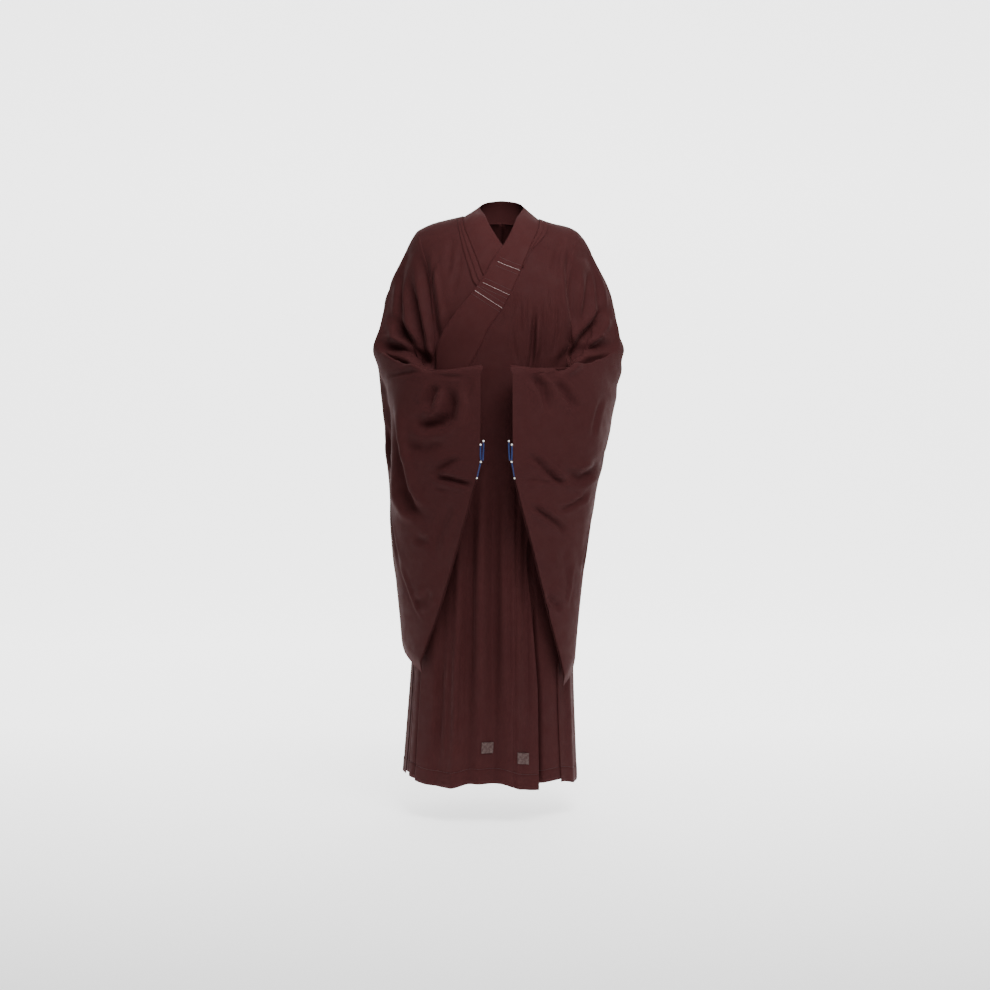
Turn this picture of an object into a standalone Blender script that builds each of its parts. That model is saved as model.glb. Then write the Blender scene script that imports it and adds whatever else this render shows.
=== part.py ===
# Long crossed-front temple robe with bag sleeves, worn pose, hollow inside.
# Metres, +Z up, front faces -Y, +X is the wearer's left.
# The origin is the middle of the neck opening on the shoulder line.
import math
import bpy
import bmesh
from mathutils import Vector

for old in list(bpy.data.objects):
    bpy.data.objects.remove(old, do_unlink=True)

# Driving sizes
WALL = 0.0012          # cloth with its facing
GAP = 0.0003           # between sewn pieces
SEAM_HALF = 0.00045     # half the gap along the two centre seams
BODY_LENGTH = 1.235    # shoulder crest to hem, along the fall
LAP_LIFT = 0.0062      # outer front above the inner front

# Cross sections of the body: how far down, middle, half width, front depth,
# back depth, squareness
SECTIONS = (
    (0.00, 0.0123, 0.205, 0.120, 0.095, 3.0),
    (0.10, 0.0123, 0.200, 0.128, 0.105, 3.2),
    (0.22, 0.0103, 0.190, 0.140, 0.112, 3.2),
    (0.32, 0.0083, 0.182, 0.142, 0.115, 3.0),
    (0.40, 0.0063, 0.175, 0.138, 0.116, 2.6),
    (0.55, 0.0023, 0.172, 0.136, 0.122, 2.3),
    (0.80, -0.0027, 0.176, 0.142, 0.134, 2.2),
    (1.00, -0.0062, 0.1815, 0.148, 0.142, 2.2),
    (1.255, -0.0112, 0.1955, 0.156, 0.156, 2.2),
)

# Shoulder line from the wearer's right to the left: across, height
CREST = (
    (-0.200, -0.070), (-0.189, -0.046), (-0.176, -0.034), (-0.162, -0.026), (-0.1385, -0.0160),
    (-0.108, -0.008), (-0.072, 0.000), (0.012, 0.016), (0.097, -0.007), (0.126, -0.016),
    (0.161, -0.0245), (0.181, -0.035), (0.199, -0.057),
)
# Hem, longer or shorter than the common fall, against the angle
HEM = (
    (-180.0, 0.000), (-90.0, -0.002), (-70.0, -0.004), (-48.0, 0.001), (-25.0, 0.003), (-9.0, -0.009),
    (4.0, -0.009), (18.0, 0.005), (30.0, 0.008), (34.0, 0.002), (52.0, 0.000), (70.0, 0.010),
    (95.0, 0.012), (130.0, 0.004), (180.0, 0.000),
)

# Edges as drop, angle round the body (0 front, 90 wearer's left, 180 back)
RIGHT_FRONT_ARMHOLE = ((0.0, -61.0), (0.019, -56.5), (0.086, -48.6), (0.170, -44.8), (0.249, -42.6),
                       (0.310, -42.5), (0.335, -47.0), (0.360, -63.0), (0.375, -78.0), (0.385, -87.9))
RIGHT_BACK_ARMHOLE = ((0.0, -119.0), (0.040, -124.0), (0.110, -127.0), (0.200, -126.0), (0.280, -119.0),
                      (0.335, -108.0), (0.370, -96.0), (0.385, -88.1))
LEFT_FRONT_ARMHOLE = ((0.0, 54.0), (0.019, 47.0), (0.050, 41.5), (0.113, 40.0), (0.190, 44.6), (0.250, 47.5),
                      (0.310, 45.0), (0.335, 48.0), (0.360, 63.0), (0.375, 78.0), (0.385, 87.9))
LEFT_BACK_ARMHOLE = ((0.0, 126.0), (0.040, 129.0), (0.110, 129.0), (0.200, 126.0), (0.280, 119.0),
                     (0.335, 108.0), (0.370, 96.0), (0.385, 88.1))
LEFT_FRONT_SIDE = ((0.385, 87.9), (0.420, 80.0), (0.500, 50.0), (0.600, 30.0), (0.720, 20.5),
                   (0.820, 23.6), (0.920, 26.7), (1.040, 29.6), (1.235, 29.9))
LEFT_BACK_SIDE = ((0.385, 88.1), (0.450, 84.0), (0.600, 70.0), (0.800, 59.0), (1.010, 50.0),
                  (1.235, 51.5))
RIGHT_FRONT_SIDE = ((0.385, -87.9), (0.450, -87.0), (0.600, -78.0), (1.235, -70.0))
RIGHT_BACK_SIDE = ((0.385, -88.1), (0.450, -89.0), (0.600, -84.0), (1.235, -80.0))
LEFT_COLLAR_SEAM = ((0.0, 15.2), (0.022, 13.8), (0.083, 7.6), (0.119, 4.9), (0.160, 2.0),
                    (0.200, 0.0), (0.215, -1.2))
CENTRE_FRONT = ((0.215, -1.2), (0.300, -1.8), (0.560, -1.8), (1.235, 0.6))
RIGHT_COLLAR_SEAM = ((0.0, -15.6), (0.020, -14.7), (0.066, -10.1), (0.113, -6.0), (0.200, 8.0),
                     (0.300, 22.0), (1.235, 20.0))
LEFT_BACK_NECK = ((0.0, 164.8), (0.010, 167.5), (0.022, 172.5), (0.030, 180.0), (1.235, 180.0))
RIGHT_BACK_NECK = ((0.0, -164.4), (0.010, -167.0), (0.022, -172.0), (0.030, -180.0),
                   (1.235, -180.0))
LAP_SEAM = ((-1.2, 0.215), (-2.4, 0.231), (-5.0, 0.258), (-8.6, 0.286), (-14.8, 0.318),
            (-26.0, 0.354), (-40.0, 0.392), (-57.0, 0.430))

# Free edge of the collar against the drop of its seam: inner front, back, outer front
RIGHT_FREE_EDGE = ((0.0, -3.7, 0.010), (0.020, -3.7, 0.016), (0.066, -1.0, 0.053), (0.113, 0.6, 0.088),
                   (0.200, 14.0, 0.150), (0.310, 29.0, 0.245))
BACK_FREE_EDGE = ((0.008, 0.049, 0.016, 0.021), (0.018, 0.034, 0.036, 0.031),
                  (0.030, 0.000, 0.046, 0.036))
LEFT_FREE_EDGE = ((0.008, 3.6, 0.013), (0.022, 3.1, 0.021), (0.052, 1.4, 0.052), (0.083, 0.0, 0.084),
                  (0.119, -1.3, 0.104), (0.160, -4.4, 0.136), (0.200, -11.2, 0.168), (0.215, -15.0, 0.181))
LAP_FREE_EDGE = ((0.0, -15.0, 0.181), (0.143, -20.6, 0.199), (0.286, -34.4, 0.249), (0.429, -39.0, 0.275),
                 (0.571, -40.5, 0.305), (0.714, -43.0, 0.342), (0.857, -49.0, 0.370), (1.0, -57.0, 0.390))
COLLAR_RISE = 0.0026
STRIP_WALL = 0.0010
# Width of one collar strip: drop of the seam, back, inner front, outer front
STRIP_WIDTHS = ((0.0, 0.010, 0.006, 0.010), (0.022, 0.010, 0.006, 0.010), (0.060, 0.010, 0.009, 0.006),
                (0.090, 0.010, 0.011, 0.0015), (0.120, 0.010, 0.012, 0.0012))
STRIP_END = 0.118      # drop where both strips run out under the outer front
LAP_COLUMNS = 18
GORE_TUCK = 9.0        # degrees that a side gore runs under each panel
PATCH_SIDE = 0.025
PATCH_WALL = 0.0006
CORD_RADIUS = 0.0019
KNOT_RADIUS = 0.0026
# Heights of the cord knots on the mouth edge: front strand, back strand, fork, lower end
CORD_HEIGHTS = (-0.4910, -0.4835, -0.5280, -0.5630)
STRANDS_APART = 0.0062  # at their upper ends

# Long folds of the body: angle above, angle below, drop where it starts,
# drop where it is full, half width in degrees, depth (minus is a valley)
BODY_FOLDS = (
    (-1.8, 0.8, 0.40, 0.75, 3.2, -0.0085),
    (-15.5, -14.2, 0.45, 0.90, 3.0, -0.0055),
    (-24.0, -23.0, 0.45, 0.95, 3.5, 0.0060),
    (-8.0, -6.8, 0.45, 0.90, 3.2, 0.0060),
    (8.0, 12.5, 0.45, 0.95, 4.0, 0.0060),
    (-38.0, -36.0, 0.50, 1.00, 4.5, -0.0050),
    (12.4, 13.0, 0.18, 0.27, 1.6, -0.0045),
    (5.2, 8.0, 0.21, 0.29, 1.8, 0.0020),
    (20.0, 19.0, 0.14, 0.28, 2.6, -0.0022),
    (66.0, 65.0, 0.70, 1.10, 5.0, 0.0060),
    (104.0, 101.0, 0.55, 1.10, 6.0, -0.0080),
    (122.0, 121.0, 0.50, 1.10, 6.0, 0.0110),
    (139.0, 140.0, 0.30, 1.00, 5.0, -0.0100),
    (158.0, 157.0, 0.35, 1.05, 6.0, 0.0120),
    (174.0, 172.0, 0.30, 1.00, 5.0, -0.0090),
    (-168.0, -166.0, 0.35, 1.05, 5.5, 0.0110),
    (-150.0, -151.0, 0.28, 1.00, 5.0, -0.0105),
    (-132.0, -131.0, 0.40, 1.10, 6.0, 0.0120),
    (-113.0, -114.0, 0.50, 1.10, 5.5, -0.0090),
    (-93.0, -92.0, 0.60, 1.15, 6.0, 0.0060),
)

# Sleeve sections from shoulder to mouth: top, lowest and crook points, then the outward
# direction in degrees (0 is -Y, 90 is sideways, 180 is +Y) with the outer layer's two
# swellings, the inner layer's two and the swelling over the front of the arm
RIGHT_SLEEVE = (
    ((-0.221, 0.000, -0.124), (-0.192, 0.030, -0.440), (-0.141, -0.121, -0.348),
     155, 0.060, 0.024, 0.018, 0.026, 0.020),
    ((-0.238, 0.000, -0.180), (-0.205, 0.055, -0.560), (-0.143, -0.129, -0.356),
     150, 0.054, 0.026, 0.014, 0.026, 0.018),
    ((-0.254, -0.005, -0.240), (-0.212, 0.055, -0.700), (-0.143, -0.137, -0.362),
     150, 0.042, 0.024, 0.006, 0.024, 0.016),
    ((-0.272, -0.020, -0.297), (-0.216, 0.020, -0.865), (-0.136, -0.146, -0.362),
     95, -0.024, 0.003, 0.004, 0.020, 0.014),
    ((-0.196, -0.150, -0.338), (-0.210, -0.030, -0.935), (-0.116, -0.160, -0.352),
     62, 0.028, 0.018, 0.004, 0.014, 0.006),
    ((-0.118, -0.212, -0.345), (-0.187, -0.085, -0.967), (-0.084, -0.174, -0.346),
     47, 0.022, 0.018, 0.004, 0.010, 0.004),
    ((-0.031, -0.250, -0.337), (-0.166, -0.122, -0.980), (-0.034, -0.196, -0.337),
     45, 0.012, 0.006, 0.000, 0.004, 0.000),
)
LEFT_SLEEVE = (
    ((0.228, 0.000, -0.118), (0.204, 0.030, -0.440), (0.164, -0.118, -0.347),
     155, 0.060, 0.024, 0.020, 0.026, 0.020),
    ((0.249, 0.000, -0.165), (0.208, 0.050, -0.560), (0.163, -0.128, -0.355),
     150, 0.054, 0.026, 0.012, 0.026, 0.018),
    ((0.264, -0.005, -0.225), (0.198, 0.045, -0.680), (0.160, -0.138, -0.361),
     150, 0.042, 0.020, 0.006, 0.024, 0.016),
    ((0.279, -0.020, -0.297), (0.182, 0.010, -0.820), (0.148, -0.150, -0.361),
     95, 0.009, 0.002, 0.004, 0.020, 0.014),
    ((0.200, -0.150, -0.334), (0.180, -0.040, -0.935), (0.120, -0.162, -0.352),
     62, 0.030, 0.014, 0.004, 0.014, 0.006),
    ((0.118, -0.212, -0.341), (0.169, -0.085, -0.990), (0.083, -0.174, -0.346),
     47, 0.022, 0.016, 0.004, 0.010, 0.004),
    ((0.032, -0.250, -0.339), (0.150, -0.122, -1.010), (0.035, -0.196, -0.339),
     45, 0.012, 0.006, 0.000, 0.004, 0.000),
)
# Sewn mouth edge of each sleeve below the hand slot: height, x, y
RIGHT_MOUTH = (
    (-0.337, -0.031, -0.248), (-0.527, -0.034, -0.246), (-0.600, -0.052, -0.232), (-0.680, -0.073, -0.213),
    (-0.770, -0.098, -0.188), (-0.860, -0.124, -0.160), (-0.930, -0.148, -0.136), (-0.980, -0.166, -0.122),
)
LEFT_MOUTH = (
    (-0.339, 0.033, -0.248), (-0.523, 0.034, -0.246), (-0.610, 0.050, -0.232), (-0.700, 0.074, -0.210),
    (-0.800, 0.098, -0.180), (-0.890, 0.120, -0.152), (-0.960, 0.138, -0.132), (-1.010, 0.150, -0.122),
)
HEM_TURN = 0.0024      # half width of the turned lower edge of a sleeve
# Points from each named point of a sleeve section to the next
RING_STEPS = (4, 4, 4, 1, 3, 3, 4, 6, 6)
# Drops at which a sleeve meets the body, down the back and up the front
BACK_STITCHES = (0.0, 0.018, 0.046, 0.085, 0.145, 0.180, 0.215, 0.250, 0.282, 0.310, 0.335, 0.360, 0.385)
FRONT_STITCHES = (0.385, 0.3805, 0.376, 0.372, 0.366, 0.360, 0.354, 0.348, 0.335, 0.3225, 0.310, 0.282, 0.250,
                  0.215, 0.180, 0.145, 0.113, 0.085, 0.064, 0.046, 0.030, 0.018)
SLEEVE_STEPS = 3       # rings between sleeve sections
# Share by which each ring from the mouth inward is brought to the sewn edge
MOUTH_HOLD = (1.0, 0.72, 0.45, 0.2, 0.06)
SLEEVE_SPLIT = 7       # ring where each sleeve's solids part, above the elbow
# Largest folds over the arms, as seen from the front: half width, depth, then across and height along each
RIGHT_SLEEVE_FOLDS = (
    (0.0120, -0.0070, ((-0.250, -0.200), (-0.211, -0.249), (-0.181, -0.288), (-0.150, -0.318))),
    (0.0110, -0.0070, ((-0.268, -0.289), (-0.239, -0.287), (-0.209, -0.292), (-0.160, -0.316))),
    (0.0110, -0.0050, ((-0.205, -0.105), (-0.183, -0.186), (-0.168, -0.251), (-0.153, -0.305))),
)
LEFT_SLEEVE_FOLDS = (
    (0.0120, -0.0080, ((0.262, -0.180), (0.225, -0.229), (0.195, -0.268), (0.155, -0.312))),
    (0.0110, -0.0060, ((0.270, -0.291), (0.229, -0.285), (0.192, -0.293), (0.152, -0.321))),
    (0.0110, -0.0045, ((0.212, -0.090), (0.204, -0.164), (0.192, -0.225), (0.180, -0.262))),
)
# Looks only: plain stand-in colours
CLOTH_COLOUR = (0.075, 0.030, 0.028, 1.0)
CORD_COLOUR = (0.010, 0.060, 0.420, 1.0)
KNOT_COLOUR = (0.800, 0.800, 0.780, 1.0)
PATCH_COLOUR = (0.190, 0.140, 0.130, 1.0)


def smooth(t):
    t = min(max(t, 0.0), 1.0)
    return t * t * (3.0 - 2.0 * t)


def look(rows, key, column=1):
    """Value of a column at a key, straight between rows."""
    if key <= rows[0][0]:
        return rows[0][column]
    for low, high in zip(rows, rows[1:]):
        if key <= high[0]:
            part = (key - low[0]) / (high[0] - low[0])
            return low[column] + (high[column] - low[column]) * part
    return rows[-1][column]


def power(value, exponent):
    return math.copysign(abs(value) ** exponent, value)


def bare(angle, drop):
    """Point of the body's smooth form at an angle and a drop below the crest."""
    down = drop + 0.02
    middle = look(SECTIONS, down, 1)
    half = look(SECTIONS, down, 2)
    front = look(SECTIONS, down, 3)
    back = look(SECTIONS, down, 4)
    square = look(SECTIONS, down, 5)
    s = math.sin(math.radians(angle))
    c = math.cos(math.radians(angle))
    x = middle + half * power(s, 2.0 / square)
    top = look(CREST, x)
    z = top + (-0.02 - top) * smooth(drop / 0.3) - drop
    depth = front if c >= 0.0 else back
    rise = min(drop / (0.18 if c >= 0.0 else 0.13), 1.0)
    y = -power(c, 2.0 / square) * depth * (1.0 - (1.0 - rise) ** 2) ** 0.6
    return Vector((x, y, z))


def angle_at(x, drop):
    """Front angle of a place across the body."""
    share = (x - look(SECTIONS, drop + 0.02, 1)) / look(SECTIONS, drop + 0.02, 2)
    return math.degrees(math.asin(power(share, look(SECTIONS, drop + 0.02, 5) / 2.0)))


def away(angle, drop):
    """Direction out of the smooth form."""
    drop = max(drop, 0.004)
    across = bare(angle + 1.0, drop) - bare(angle - 1.0, drop)
    down = bare(angle, drop + 0.004) - bare(angle, drop - 0.004)
    return down.cross(across).normalized()


def turn(angle):
    return (angle + 180.0) % 360.0 - 180.0


def fold_height(angle, drop):
    total = 0.0
    for above, below, start, full, half, depth in BODY_FOLDS:
        strength = smooth((drop - start) / (full - start))
        if strength <= 0.0:
            continue
        line = above + (below - above) * smooth(drop / BODY_LENGTH)
        total += depth * strength * math.exp(-(turn(angle - line) / half) ** 2)
    return total


def on_body(angle, drop, lift):
    """Point of the cloth's outer face at a lift from the folded form."""
    if drop > 0.9:
        drop += look(HEM, turn(angle)) * smooth((drop - 0.9) / 0.335)
    return bare(angle, drop) + away(angle, drop) * (fold_height(angle, drop) + lift)


def left_lift(angle, drop):
    return LAP_LIFT * smooth((drop - 0.022) / 0.05) * smooth((48.0 - angle) / 16.0)


def right_lift(angle, drop):
    return -0.006 * smooth((drop - 0.36) / 0.10) * smooth((angle + 66.0) / 10.0)


def mesh_object(name, verts, faces, colour, wall=WALL):
    mesh = bpy.data.meshes.new(name)
    mesh.from_pydata([tuple(v) for v in verts], [], faces)
    bm = bmesh.new()
    bm.from_mesh(mesh)
    bmesh.ops.remove_doubles(bm, verts=bm.verts, dist=0.00005)
    bm.to_mesh(mesh)
    bm.free()
    obj = dress(mesh, name, colour)
    shell = obj.modifiers.new("wall", "SOLIDIFY")
    shell.thickness = wall
    shell.offset = -1.0
    shell.use_even_offset = False
    return obj


def dress(mesh, name, colour):
    obj = bpy.data.objects.new(name, mesh)
    group.objects.link(obj)
    material = bpy.data.materials.new(name)
    material.use_nodes = True
    shader = material.node_tree.nodes["Principled BSDF"]
    shader.inputs["Base Color"].default_value = colour
    shader.inputs["Roughness"].default_value = 0.85
    material.diffuse_color = colour
    mesh.materials.append(material)
    for poly in mesh.polygons:
        poly.use_smooth = True
    return obj


def grid_faces(rows, cols, start=0, ring=False, flip=False):
    faces = []
    for r in range(rows - 1):
        for c in range(cols if ring else cols - 1):
            d = (c + 1) % cols
            quad = (start + r * cols + c, start + r * cols + d,
                    start + (r + 1) * cols + d, start + (r + 1) * cols + c)
            faces.append(tuple(reversed(quad)) if flip else quad)
    return faces


def sheet(name, grid, colour=CLOTH_COLOUR, wall=WALL, ring=False, flip=False):
    verts = [p for row in grid for p in row]
    faces = grid_faces(len(grid), len(grid[0]), 0, ring, flip)
    return mesh_object(name, verts, faces, colour, wall)


# Rows of the two body halves, closer where the shape turns
DROPS = [0.0, 0.008, 0.018, 0.030, 0.046, 0.064, 0.085, 0.113, 0.145, 0.180, 0.215, 0.250, 0.282, 0.310,
         0.335, 0.348, 0.360, 0.372, 0.385, 0.420, 0.470, 0.520, 0.580, 0.660, 0.750, 0.850, 0.950, 1.050,
         1.140, 1.235]

BODY_COLUMNS = 11


def half(name, front_inner, front_outer, back_inner, back_outer, side, columns, lift, seam_from):
    """Front and back of one side, cut in one over the shoulder."""
    verts = []
    rows = len(DROPS)
    for inner, outer, raise_by, seam in ((front_inner, front_outer, lift, seam_from),
                                         (back_inner, back_outer, None, 0.030)):
        for drop in DROPS:
            near = inner(drop)
            far = outer(drop)
            for c in range(columns + 1):
                part = c / columns
                angle = near + (far - near) * part
                up = raise_by(angle, drop) if raise_by else 0.0
                point = on_body(angle, drop, up)
                if c == 0 and drop >= seam:
                    point.x += side * SEAM_HALF
                verts.append(point)
    faces = grid_faces(rows, columns + 1, 0, flip=side > 0)
    faces += grid_faces(rows, columns + 1, rows * (columns + 1), flip=side < 0)
    return mesh_object(name, verts, faces, CLOTH_COLOUR)


def joined(*tables):
    def value(drop):
        for rows in tables:
            if drop <= rows[-1][0] + 1e-9:
                return look(rows, drop)
        return tables[-1][-1][1]
    return value


def build_body():
    half("body_left", joined(LEFT_COLLAR_SEAM, CENTRE_FRONT), joined(LEFT_FRONT_ARMHOLE, LEFT_FRONT_SIDE),
         joined(LEFT_BACK_NECK), joined(LEFT_BACK_ARMHOLE, LEFT_BACK_SIDE), 1, BODY_COLUMNS, left_lift, 0.215)
    half("body_right", joined(RIGHT_COLLAR_SEAM), joined(RIGHT_FRONT_ARMHOLE, RIGHT_FRONT_SIDE),
         joined(RIGHT_BACK_NECK), joined(RIGHT_BACK_ARMHOLE, RIGHT_BACK_SIDE), -1, BODY_COLUMNS,
         right_lift, 9.0)


def lap_edge(u):
    """Angle and drop along the seam of the outer front, 0 at the middle, 1 at the side."""
    place = min(u, 1.0) * (len(LAP_SEAM) - 1)
    k = min(int(place), len(LAP_SEAM) - 2)
    f = place - k
    return (LAP_SEAM[k][0] + (LAP_SEAM[k + 1][0] - LAP_SEAM[k][0]) * f,
            LAP_SEAM[k][1] + (LAP_SEAM[k + 1][1] - LAP_SEAM[k][1]) * f)


def build_overlap():
    grid = []
    for fall in [drop for drop in DROPS if drop >= 0.215]:
        t = (fall - 0.215) / (BODY_LENGTH - 0.215)
        row = []
        for c in range(LAP_COLUMNS + 1):
            u = c / LAP_COLUMNS
            start, drop = lap_edge(u)
            drop = drop + (BODY_LENGTH - drop) * t
            across = start - LAP_SEAM[0][0]
            across += (-57.6 * u - across) * smooth(t * 1.6)
            sway = look(CENTRE_FRONT, drop) - LAP_SEAM[0][0]
            angle = LAP_SEAM[0][0] + across + sway * (min(t * 8.0, 1.0) if c else 1.0)
            lift = LAP_LIFT - 0.0015 * smooth((u - 0.75) / 0.25)
            point = on_body(angle, drop, lift)
            if c == 0:
                point.x -= SEAM_HALF
            row.append(point)
        grid.append(row)
    sheet("overlap_front", grid)


def collar_rows():
    """Seam place, lift there and the free edge of the collar, from the inner front round to the outer."""
    rows = []
    for drop in reversed([d for d in DROPS if d <= 0.310]):
        angle = look(RIGHT_COLLAR_SEAM, drop)
        if drop == 0.0:
            free = Vector((-0.034, -0.013, 0.012))
        else:
            free = on_body(look(RIGHT_FREE_EDGE, drop, 1), look(RIGHT_FREE_EDGE, drop, 2), 0.0012)
        raised = COLLAR_RISE * (1.0 - smooth((drop - 0.085) / 0.05))
        rows.append((angle, drop, raised, free))
    back = [d for d in DROPS if 0.0 < d <= 0.030]
    for drop in back:
        free = Vector([look(BACK_FREE_EDGE, drop, k) for k in (1, 2, 3)])
        free.x = 0.0123 - free.x
        rows.append((look(RIGHT_BACK_NECK, drop), drop, COLLAR_RISE, free))
    for drop in reversed([0.0] + back[:-1]):
        if drop == 0.0:
            free = Vector((0.060, -0.013, 0.009))
            rows.append((look(LEFT_COLLAR_SEAM, 0.0), 0.0, COLLAR_RISE, free))
        else:
            free = Vector([look(BACK_FREE_EDGE, drop, k) for k in (1, 2, 3)])
            free.x = 0.0123 + free.x
            rows.append((look(LEFT_BACK_NECK, drop), drop, COLLAR_RISE, free))
    for drop in [d for d in DROPS if 0.0 < d <= 0.215]:
        angle = look(LEFT_COLLAR_SEAM, drop)
        rise = COLLAR_RISE * (1.0 - smooth((drop - 0.085) / 0.05))
        side, fall = look(LEFT_FREE_EDGE, drop, 1), look(LEFT_FREE_EDGE, drop, 2)
        over = LAP_LIFT * smooth((drop - 0.010) / 0.05)
        free = on_body(side, fall, over + 0.0012)
        rows.append((angle, drop, left_lift(angle, drop) + rise, free))
    for c in range(1, LAP_COLUMNS + 1):
        angle, drop = lap_edge(c / LAP_COLUMNS)
        u = c / LAP_COLUMNS
        side, fall = look(LAP_FREE_EDGE, u, 1), look(LAP_FREE_EDGE, u, 2)
        lift = LAP_LIFT - 0.0015 * smooth((u - 0.75) / 0.25)
        rows.append((angle, drop, lift, on_body(side, fall, LAP_LIFT)))
    return rows


def build_collar():
    grid = []
    for angle, drop, lift, free in collar_rows():
        seam = on_body(angle, drop, lift)
        step = (free - seam).normalized() * GAP * (2.0 if 0.2 < drop and angle > -60.0 else 1.0)
        out = away(angle, drop)
        row = []
        for k in range(5):
            part = k / 4.0
            point = (seam + step).lerp(free, part)
            row.append(point + out * 0.0035 * math.sin(math.pi * part))
        grid.append(row)
    sheet("collar_band", grid)


def strip(name, widths, near, far, lift):
    """A flat strip on the panels along the collar's seam, between two shares of its width."""
    grid = []
    for angle, drop, base, free in collar_rows():
        front = abs(angle) < 90.0
        if front and drop > STRIP_END:
            continue
        column = 1
        if front:
            column = 2 if angle < 0.0 else 3
        width = look(widths, drop, column)
        seam = on_body(angle, drop, 0.0)
        side = seam - free
        side -= away(angle, drop) * side.dot(away(angle, drop))
        side.normalize()
        by_angle = (on_body(angle + 0.5, drop, 0.0) - on_body(angle - 0.5, drop, 0.0))
        by_drop = (on_body(angle, drop + 0.004, 0.0) - on_body(angle, max(drop - 0.004, 0.0), 0.0))
        by_drop /= 0.004 + min(drop, 0.004)
        a11, a12, a22 = by_angle.dot(by_angle), by_angle.dot(by_drop), by_drop.dot(by_drop)
        b1, b2 = side.dot(by_angle), side.dot(by_drop)
        det = a11 * a22 - a12 * a12
        turn_by = (b1 * a22 - b2 * a12) / det
        fall_by = (a11 * b2 - a12 * b1) / det
        if drop == 0.0:
            fall_by = 0.0
            turn_by = (1.0 if angle > 0.0 else -1.0) / by_angle.length
        row = []
        for k in range(3):
            part = k / 2.0
            reach = GAP + width * (near + (far - near) * part)
            a, d = angle + turn_by * reach, max(drop + fall_by * reach, 0.0)
            base_lift = left_lift(a, d) if angle > 0.0 and front else 0.0
            clear = 0.0006 * (1.0 - smooth((drop - 0.008) / 0.02)) if front else 0.0014
            row.append(on_body(a, d, base_lift + lift + clear))
        grid.append(row)
    sheet(name, grid, wall=STRIP_WALL, flip=True)


def build_strips():
    strip("collar_strip_outer", STRIP_WIDTHS, 0.0, 2.0, STRIP_WALL + 0.0009)
    strip("collar_strip_mid", STRIP_WIDTHS, 0.0, 1.0, 2.0 * STRIP_WALL + 0.0013)


def build_gores():
    for name, front, back, side, slope in (("side_gore_left", LEFT_FRONT_SIDE, LEFT_BACK_SIDE, 1, 0.0052),
                                           ("side_gore_right", RIGHT_FRONT_SIDE, RIGHT_BACK_SIDE, -1, 0.0)):
        grid = []
        for drop in [d for d in DROPS if d >= 0.435]:
            row = []
            fall = min(drop, BODY_LENGTH - 0.006)
            near = look(front, fall) - side * GORE_TUCK
            far = look(back, fall) + side * GORE_TUCK
            for c in range(11):
                angle = near + (far - near) * c / 10.0
                lift = -WALL - 0.0030 + slope * smooth((48.0 - angle) / 24.0)
                if c == 0 and side > 0:
                    lift = left_lift(angle, fall) - WALL - 0.0030
                if c == 10:
                    lift = -WALL - 0.0024
                row.append(on_body(angle, fall, lift))
            grid.append(row)
        sheet(name, grid, flip=side > 0)


def build_patches():
    for name, middle, drop, lean, clear in (("hem_patch_middle", -0.0185, 1.153, 0.06, 0.0016),
                                            ("hem_patch_side", 0.0580, 1.166, 0.0, 0.0009)):
        grid = []
        for r in range(6):
            row = []
            for c in range(6):
                across = (c / 5.0 - 0.5) * PATCH_SIDE
                down = (r / 5.0 - 0.5) * PATCH_SIDE
                x = middle + across * math.cos(lean) - down * math.sin(lean)
                fall = drop + across * math.sin(lean) + down * math.cos(lean)
                row.append(on_body(angle_at(x, fall), fall, LAP_LIFT + clear + PATCH_WALL))
            grid.append(row)
        sheet(name, grid, PATCH_COLOUR, PATCH_WALL, flip=True)


def spline(a, b, c, d, t):
    return 0.5 * ((2.0 * b) + (c - a) * t + (2.0 * a - 5.0 * b + 4.0 * c - d) * t * t
                  + (3.0 * b - a - 3.0 * c + d) * t ** 3)


def heading(degrees, side):
    a = math.radians(degrees)
    return Vector((math.sin(a) * side, -math.cos(a), 0.0))


def section_points(row, side):
    top, low, crook, facing, out1, out2, in1, in2, front = row
    top, low, crook = Vector(top), Vector(low), Vector(crook)
    out = heading(facing, side)
    inward = heading(min(facing, 90), side)
    ahead = (heading(facing - 90.0, side) * 0.6 + Vector((0.0, -0.8, 0.0))).normalized()
    turn_over = out * HEM_TURN
    return [
        top,
        top.lerp(low, 0.25) + out * out1,
        top.lerp(low, 0.65) + out * out2,
        low + turn_over,
        low - turn_over,
        low.lerp(crook, 0.35) + inward * in1,
        low.lerp(crook, 0.70) + inward * in2,
        crook,
        crook.lerp(top, 0.5) + ahead * front,
    ]


def section_ring(marks):
    """Closed ring through the nine marks, with one sharp turn at the lower edge."""
    ring = []
    for i in range(9):
        before = marks[4] * 1.5 - marks[5] * 0.5 if i == 4 else marks[i - 1]
        after = marks[3] * 1.5 - marks[2] * 0.5 if i == 2 else marks[(i + 2) % 9]
        for k in range(RING_STEPS[i]):
            ring.append(spline(before, marks[i], marks[(i + 1) % 9], after, k / RING_STEPS[i]))
    return ring


def armhole_loop(front, back):
    """The armhole edge in the same order as a sleeve section: back, under the arm, front."""
    loop = []
    for rows, drops in ((back, BACK_STITCHES), (front, FRONT_STITCHES)):
        for drop in drops:
            angle = look(rows, drop)
            lift = left_lift(angle, drop) if 0.0 < angle < 90.0 else 0.0
            loop.append(on_body(angle, drop, lift))
    return loop


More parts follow.
